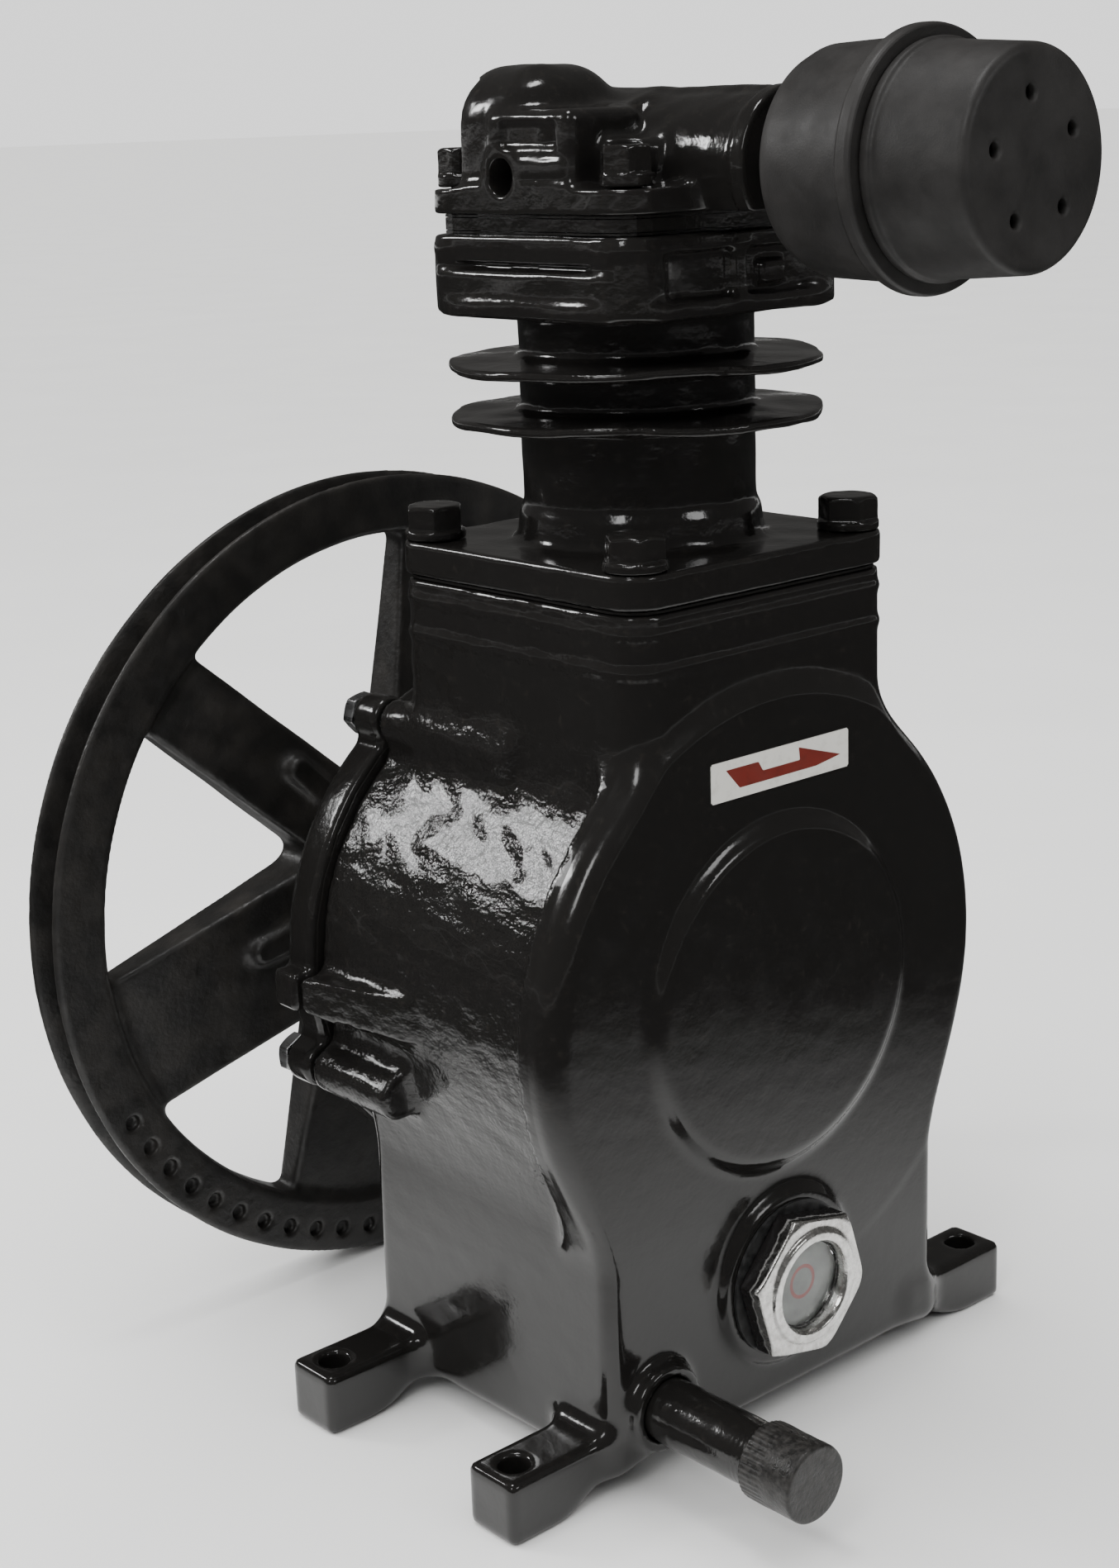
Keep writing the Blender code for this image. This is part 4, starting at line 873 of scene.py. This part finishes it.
def lens_glass():
    made = Shader("lens_glass", (0.93, 0.95, 0.95), 0.03, IOR=1.47, Transmission_Weight=1.0)
    film = made.ramp(made.noise(9, 4.0), 0.45, 0.8, 0.0, 0.25)
    made.set("Roughness", made.ramp(made.noise(6, 3.0), 0.3, 0.7, 0.02, 0.10))
    made.set("Base Color", made.mix(film, (0.93, 0.95, 0.95), (0.62, 0.64, 0.62)))
    return made.material


def backing_disc():
    """Grey disc with a thin red ring at its centre, slightly oily."""
    made = Shader("backing_disc", (0.33, 0.33, 0.31), 0.45)
    x = made.coordinate(0)
    z = made.math("SUBTRACT", made.coordinate(2), SIGHT_Z * MM)
    radius = made.math("SQRT", made.math("ADD", made.math("MULTIPLY", x, x), made.math("MULTIPLY", z, z)))
    off = made.math("ABSOLUTE", made.math("SUBTRACT", radius, 0.0054))
    ring = made.ramp(off, 0.0005, 0.0008, 1.0, 0.0)
    cloud = made.ramp(made.noise(11, 4.0), 0.35, 0.7)
    grey = made.mix(cloud, (0.42, 0.42, 0.40), (0.20, 0.20, 0.19))
    made.set("Base Color", made.mix(ring, grey, (0.42, 0.035, 0.025)))
    made.set("Roughness", made.ramp(made.noise(4, 3.0), 0.3, 0.7, 0.35, 0.55))
    return made.material


def cap_enamel():
    """Enamel that has chipped along the cap's rim to bare grey iron."""
    made = Shader("cap_enamel", (0.012, 0.011, 0.011), 0.4, IOR=1.45)
    worn = made.math("MULTIPLY", made.edges(0.52, 0.60), made.ramp(made.noise(2.5, 5.0), 0.45, 0.6))
    cloud = made.ramp(made.noise(2.0, 5.0), 0.4, 0.7)
    base = made.mix(cloud, (0.010, 0.0095, 0.009), (0.030, 0.028, 0.026))
    made.set("Base Color", made.mix(worn, base, (0.20, 0.19, 0.18)))
    made.set("Roughness", made.ramp(made.noise(4, 4.0), 0.3, 0.7, 0.25, 0.5))
    made.set("Normal", made.bump(made.noise(1.2, 4.0), 0.2))
    return made.material


def printed(name, colour, faded):
    made = Shader(name, colour, 0.35)
    wear = made.ramp(made.noise(4, 6.0, rough=0.7), 0.5, 0.8)
    made.set("Base Color", made.mix(wear, colour, faded))
    made.set("Roughness", made.ramp(made.noise(6, 3.0), 0.3, 0.7, 0.28, 0.42))
    made.set("Normal", made.bump(made.noise(14, 2.0), 0.15))
    return made.material


PAINTED_ZINC = painted_zinc()
GLASS = lens_glass()
BACKING = backing_disc()
CAP_ENAMEL = cap_enamel()
LABEL = printed("label_white", (0.62, 0.61, 0.57), (0.48, 0.46, 0.42))
ARROW = printed("arrow_red", (0.15, 0.016, 0.010), (0.09, 0.014, 0.010))

crankcase()
rear_carrier()
cylinder()
cylinder_head()
flywheel()
bolts()
air_filter()
sight_glass()
drain()
direction_label()

BY_SLOT = {
    "cast_black": ENAMEL,
    "wheel_black": WHEEL,
    "filter_plastic": PLASTIC,
    "zinc_plate": ZINC,
    "bright_steel": STEEL,
    "machined_iron": IRON,
    "aluminium_alloy": ALLOY,
    "gasket_fibre": GASKET,
    "seal_rubber": RUBBER,
    "filter_foam": FOAM,
    "sight_glass": GLASS,
    "sight_backing": BACKING,
}
# The brush went over the edges of the gaskets and of the valve plate as well.
PAINTED_OVER = ("base_gasket", "carrier_gasket", "lower_head_gasket", "upper_head_gasket", "valve_plate")
for part in frame["record"]["subparts"]:
    carried = frame["nodes"][part["node"]]
    finish = ENAMEL if part["node"] in PAINTED_OVER else BY_SLOT[part["material_slot"]]
    for material_slot in carried.material_slots:
        material_slot.material = finish


# ---------------------------------------------------------------- studio


# Light strengths: the sky, the backdrop as the camera sees it, and what fills the shadows.
SKY_STRENGTH = 4.9
BACKDROP_STRENGTH = 1.46
AMBIENT_STRENGTH = 0.10
# Each panel's name, place in metres, target, size and power.
PANELS = (
    ("key", (-1.5, -0.7, 1.5), (0, 0, 0.25), (0.35, 0.7), 7),
    ("back_left", (-0.95, 1.35, 1.05), (-0.05, 0, 0.2), (0.30, 0.30), 8),
    ("front_fill", (0.5, -2.0, 1.4), (0, 0, 0.25), (0.7, 0.5), 7),
    ("top_strip", (-0.2, 0.1, 1.5), (0, 0, 0.3), (0.3, 0.3), 5),
)
# The dark card grows from clear to dark between these distances from the middle, in metres.
CARD_START = 0.18
CARD_END = 0.44


def camera():
    """The camera looks down a little at the front and the left side."""
    turn, tilt, roll = (math.radians(a) for a in (CAMERA_TURN, CAMERA_TILT, CAMERA_ROLL))
    way = Vector((math.sin(turn) * math.cos(tilt), math.cos(turn) * math.cos(tilt), -math.sin(tilt)))
    data = bpy.data.cameras.new("camera")
    data.lens = CAMERA_LENS
    data.sensor_width = 36
    obj = bpy.data.objects.new("camera", data)
    obj.location = CAMERA_PLACE
    obj.rotation_mode = "QUATERNION"
    obj.rotation_quaternion = way.to_track_quat("-Z", "Y") @ Quaternion((0, 0, 1), roll)
    bpy.context.scene.collection.objects.link(obj)
    bpy.context.scene.camera = obj


def light(name, place, target, size, energy):
    data = bpy.data.lights.new(name, "AREA")
    data.shape = "RECTANGLE"
    data.size, data.size_y = size
    data.energy = energy
    obj = bpy.data.objects.new(name, data)
    obj.location = place
    obj.rotation_euler = (Vector(target) - Vector(place)).to_track_quat("-Z", "Y").to_euler()
    bpy.context.scene.collection.objects.link(obj)


def dark_card():
    """A dark ring over the floor that only reflections meet, so the enamel is dark above its base."""
    bm = bmesh.new()
    bmesh.ops.create_grid(bm, x_segments=8, y_segments=8, size=12.0)
    mesh = bpy.data.meshes.new("dark_card")
    bm.to_mesh(mesh)
    bm.free()
    card = bpy.data.objects.new("dark_card", mesh)
    card.location = (0, 0, 0.002)
    card.visible_camera = False
    card.visible_diffuse = False
    card.visible_shadow = False
    card.visible_transmission = False
    bpy.context.scene.collection.objects.link(card)
    tone = Shader("dark_card", (0.01, 0.01, 0.01), 0.8)
    x, y = tone.coordinate(0), tone.coordinate(1)
    square = tone.math("ADD", tone.math("MULTIPLY", x, x), tone.math("MULTIPLY", y, y))
    tone.set("Alpha", tone.ramp(tone.math("SQRT", square), CARD_START, CARD_END))
    mesh.materials.append(tone.material)
    return card


def studio():
    sun = bpy.data.lights.new("sky_panel", "SUN")
    sun.energy = SKY_STRENGTH
    sun.angle = math.radians(120)
    above = bpy.data.objects.new("sky_panel", sun)
    above.rotation_euler = (math.radians(-12), math.radians(-14), 0)
    above.visible_glossy = False
    bpy.context.scene.collection.objects.link(above)
    for panel in PANELS:
        light(*panel)
    world = bpy.data.worlds.new("studio")
    world.use_nodes = True
    bpy.context.scene.world = world
    tree = world.node_tree
    seen = tree.nodes["Background"]
    seen.inputs[0].default_value = (1, 1, 1, 1)
    seen.inputs[1].default_value = BACKDROP_STRENGTH
    around_it = tree.nodes.new("ShaderNodeBackground")
    around_it.inputs[0].default_value = (1.0, 0.98, 0.95, 1)
    around_it.inputs[1].default_value = AMBIENT_STRENGTH
    path = tree.nodes.new("ShaderNodeLightPath")
    mixed = tree.nodes.new("ShaderNodeMixShader")
    tree.links.new(path.outputs["Is Camera Ray"], mixed.inputs[0])
    tree.links.new(around_it.outputs[0], mixed.inputs[1])
    tree.links.new(seen.outputs[0], mixed.inputs[2])
    tree.links.new(mixed.outputs[0], tree.nodes["World Output"].inputs[0])
    bm = bmesh.new()
    bmesh.ops.create_grid(bm, x_segments=24, y_segments=24, size=60.0)
    mesh = bpy.data.meshes.new("floor")
    bm.to_mesh(mesh)
    bm.free()
    floor = bpy.data.objects.new("floor", mesh)
    bpy.context.scene.collection.objects.link(floor)
    paper = Shader("floor_paper", (0.93, 0.93, 0.92), 0.6)
    tone = paper.ramp(paper.noise(180, 2.0), 0.3, 0.7)
    paper.set("Base Color", paper.mix(tone, (0.94, 0.94, 0.93), (0.91, 0.91, 0.90)))
    mesh.materials.append(paper.material)
    card = dark_card()


camera()
studio()
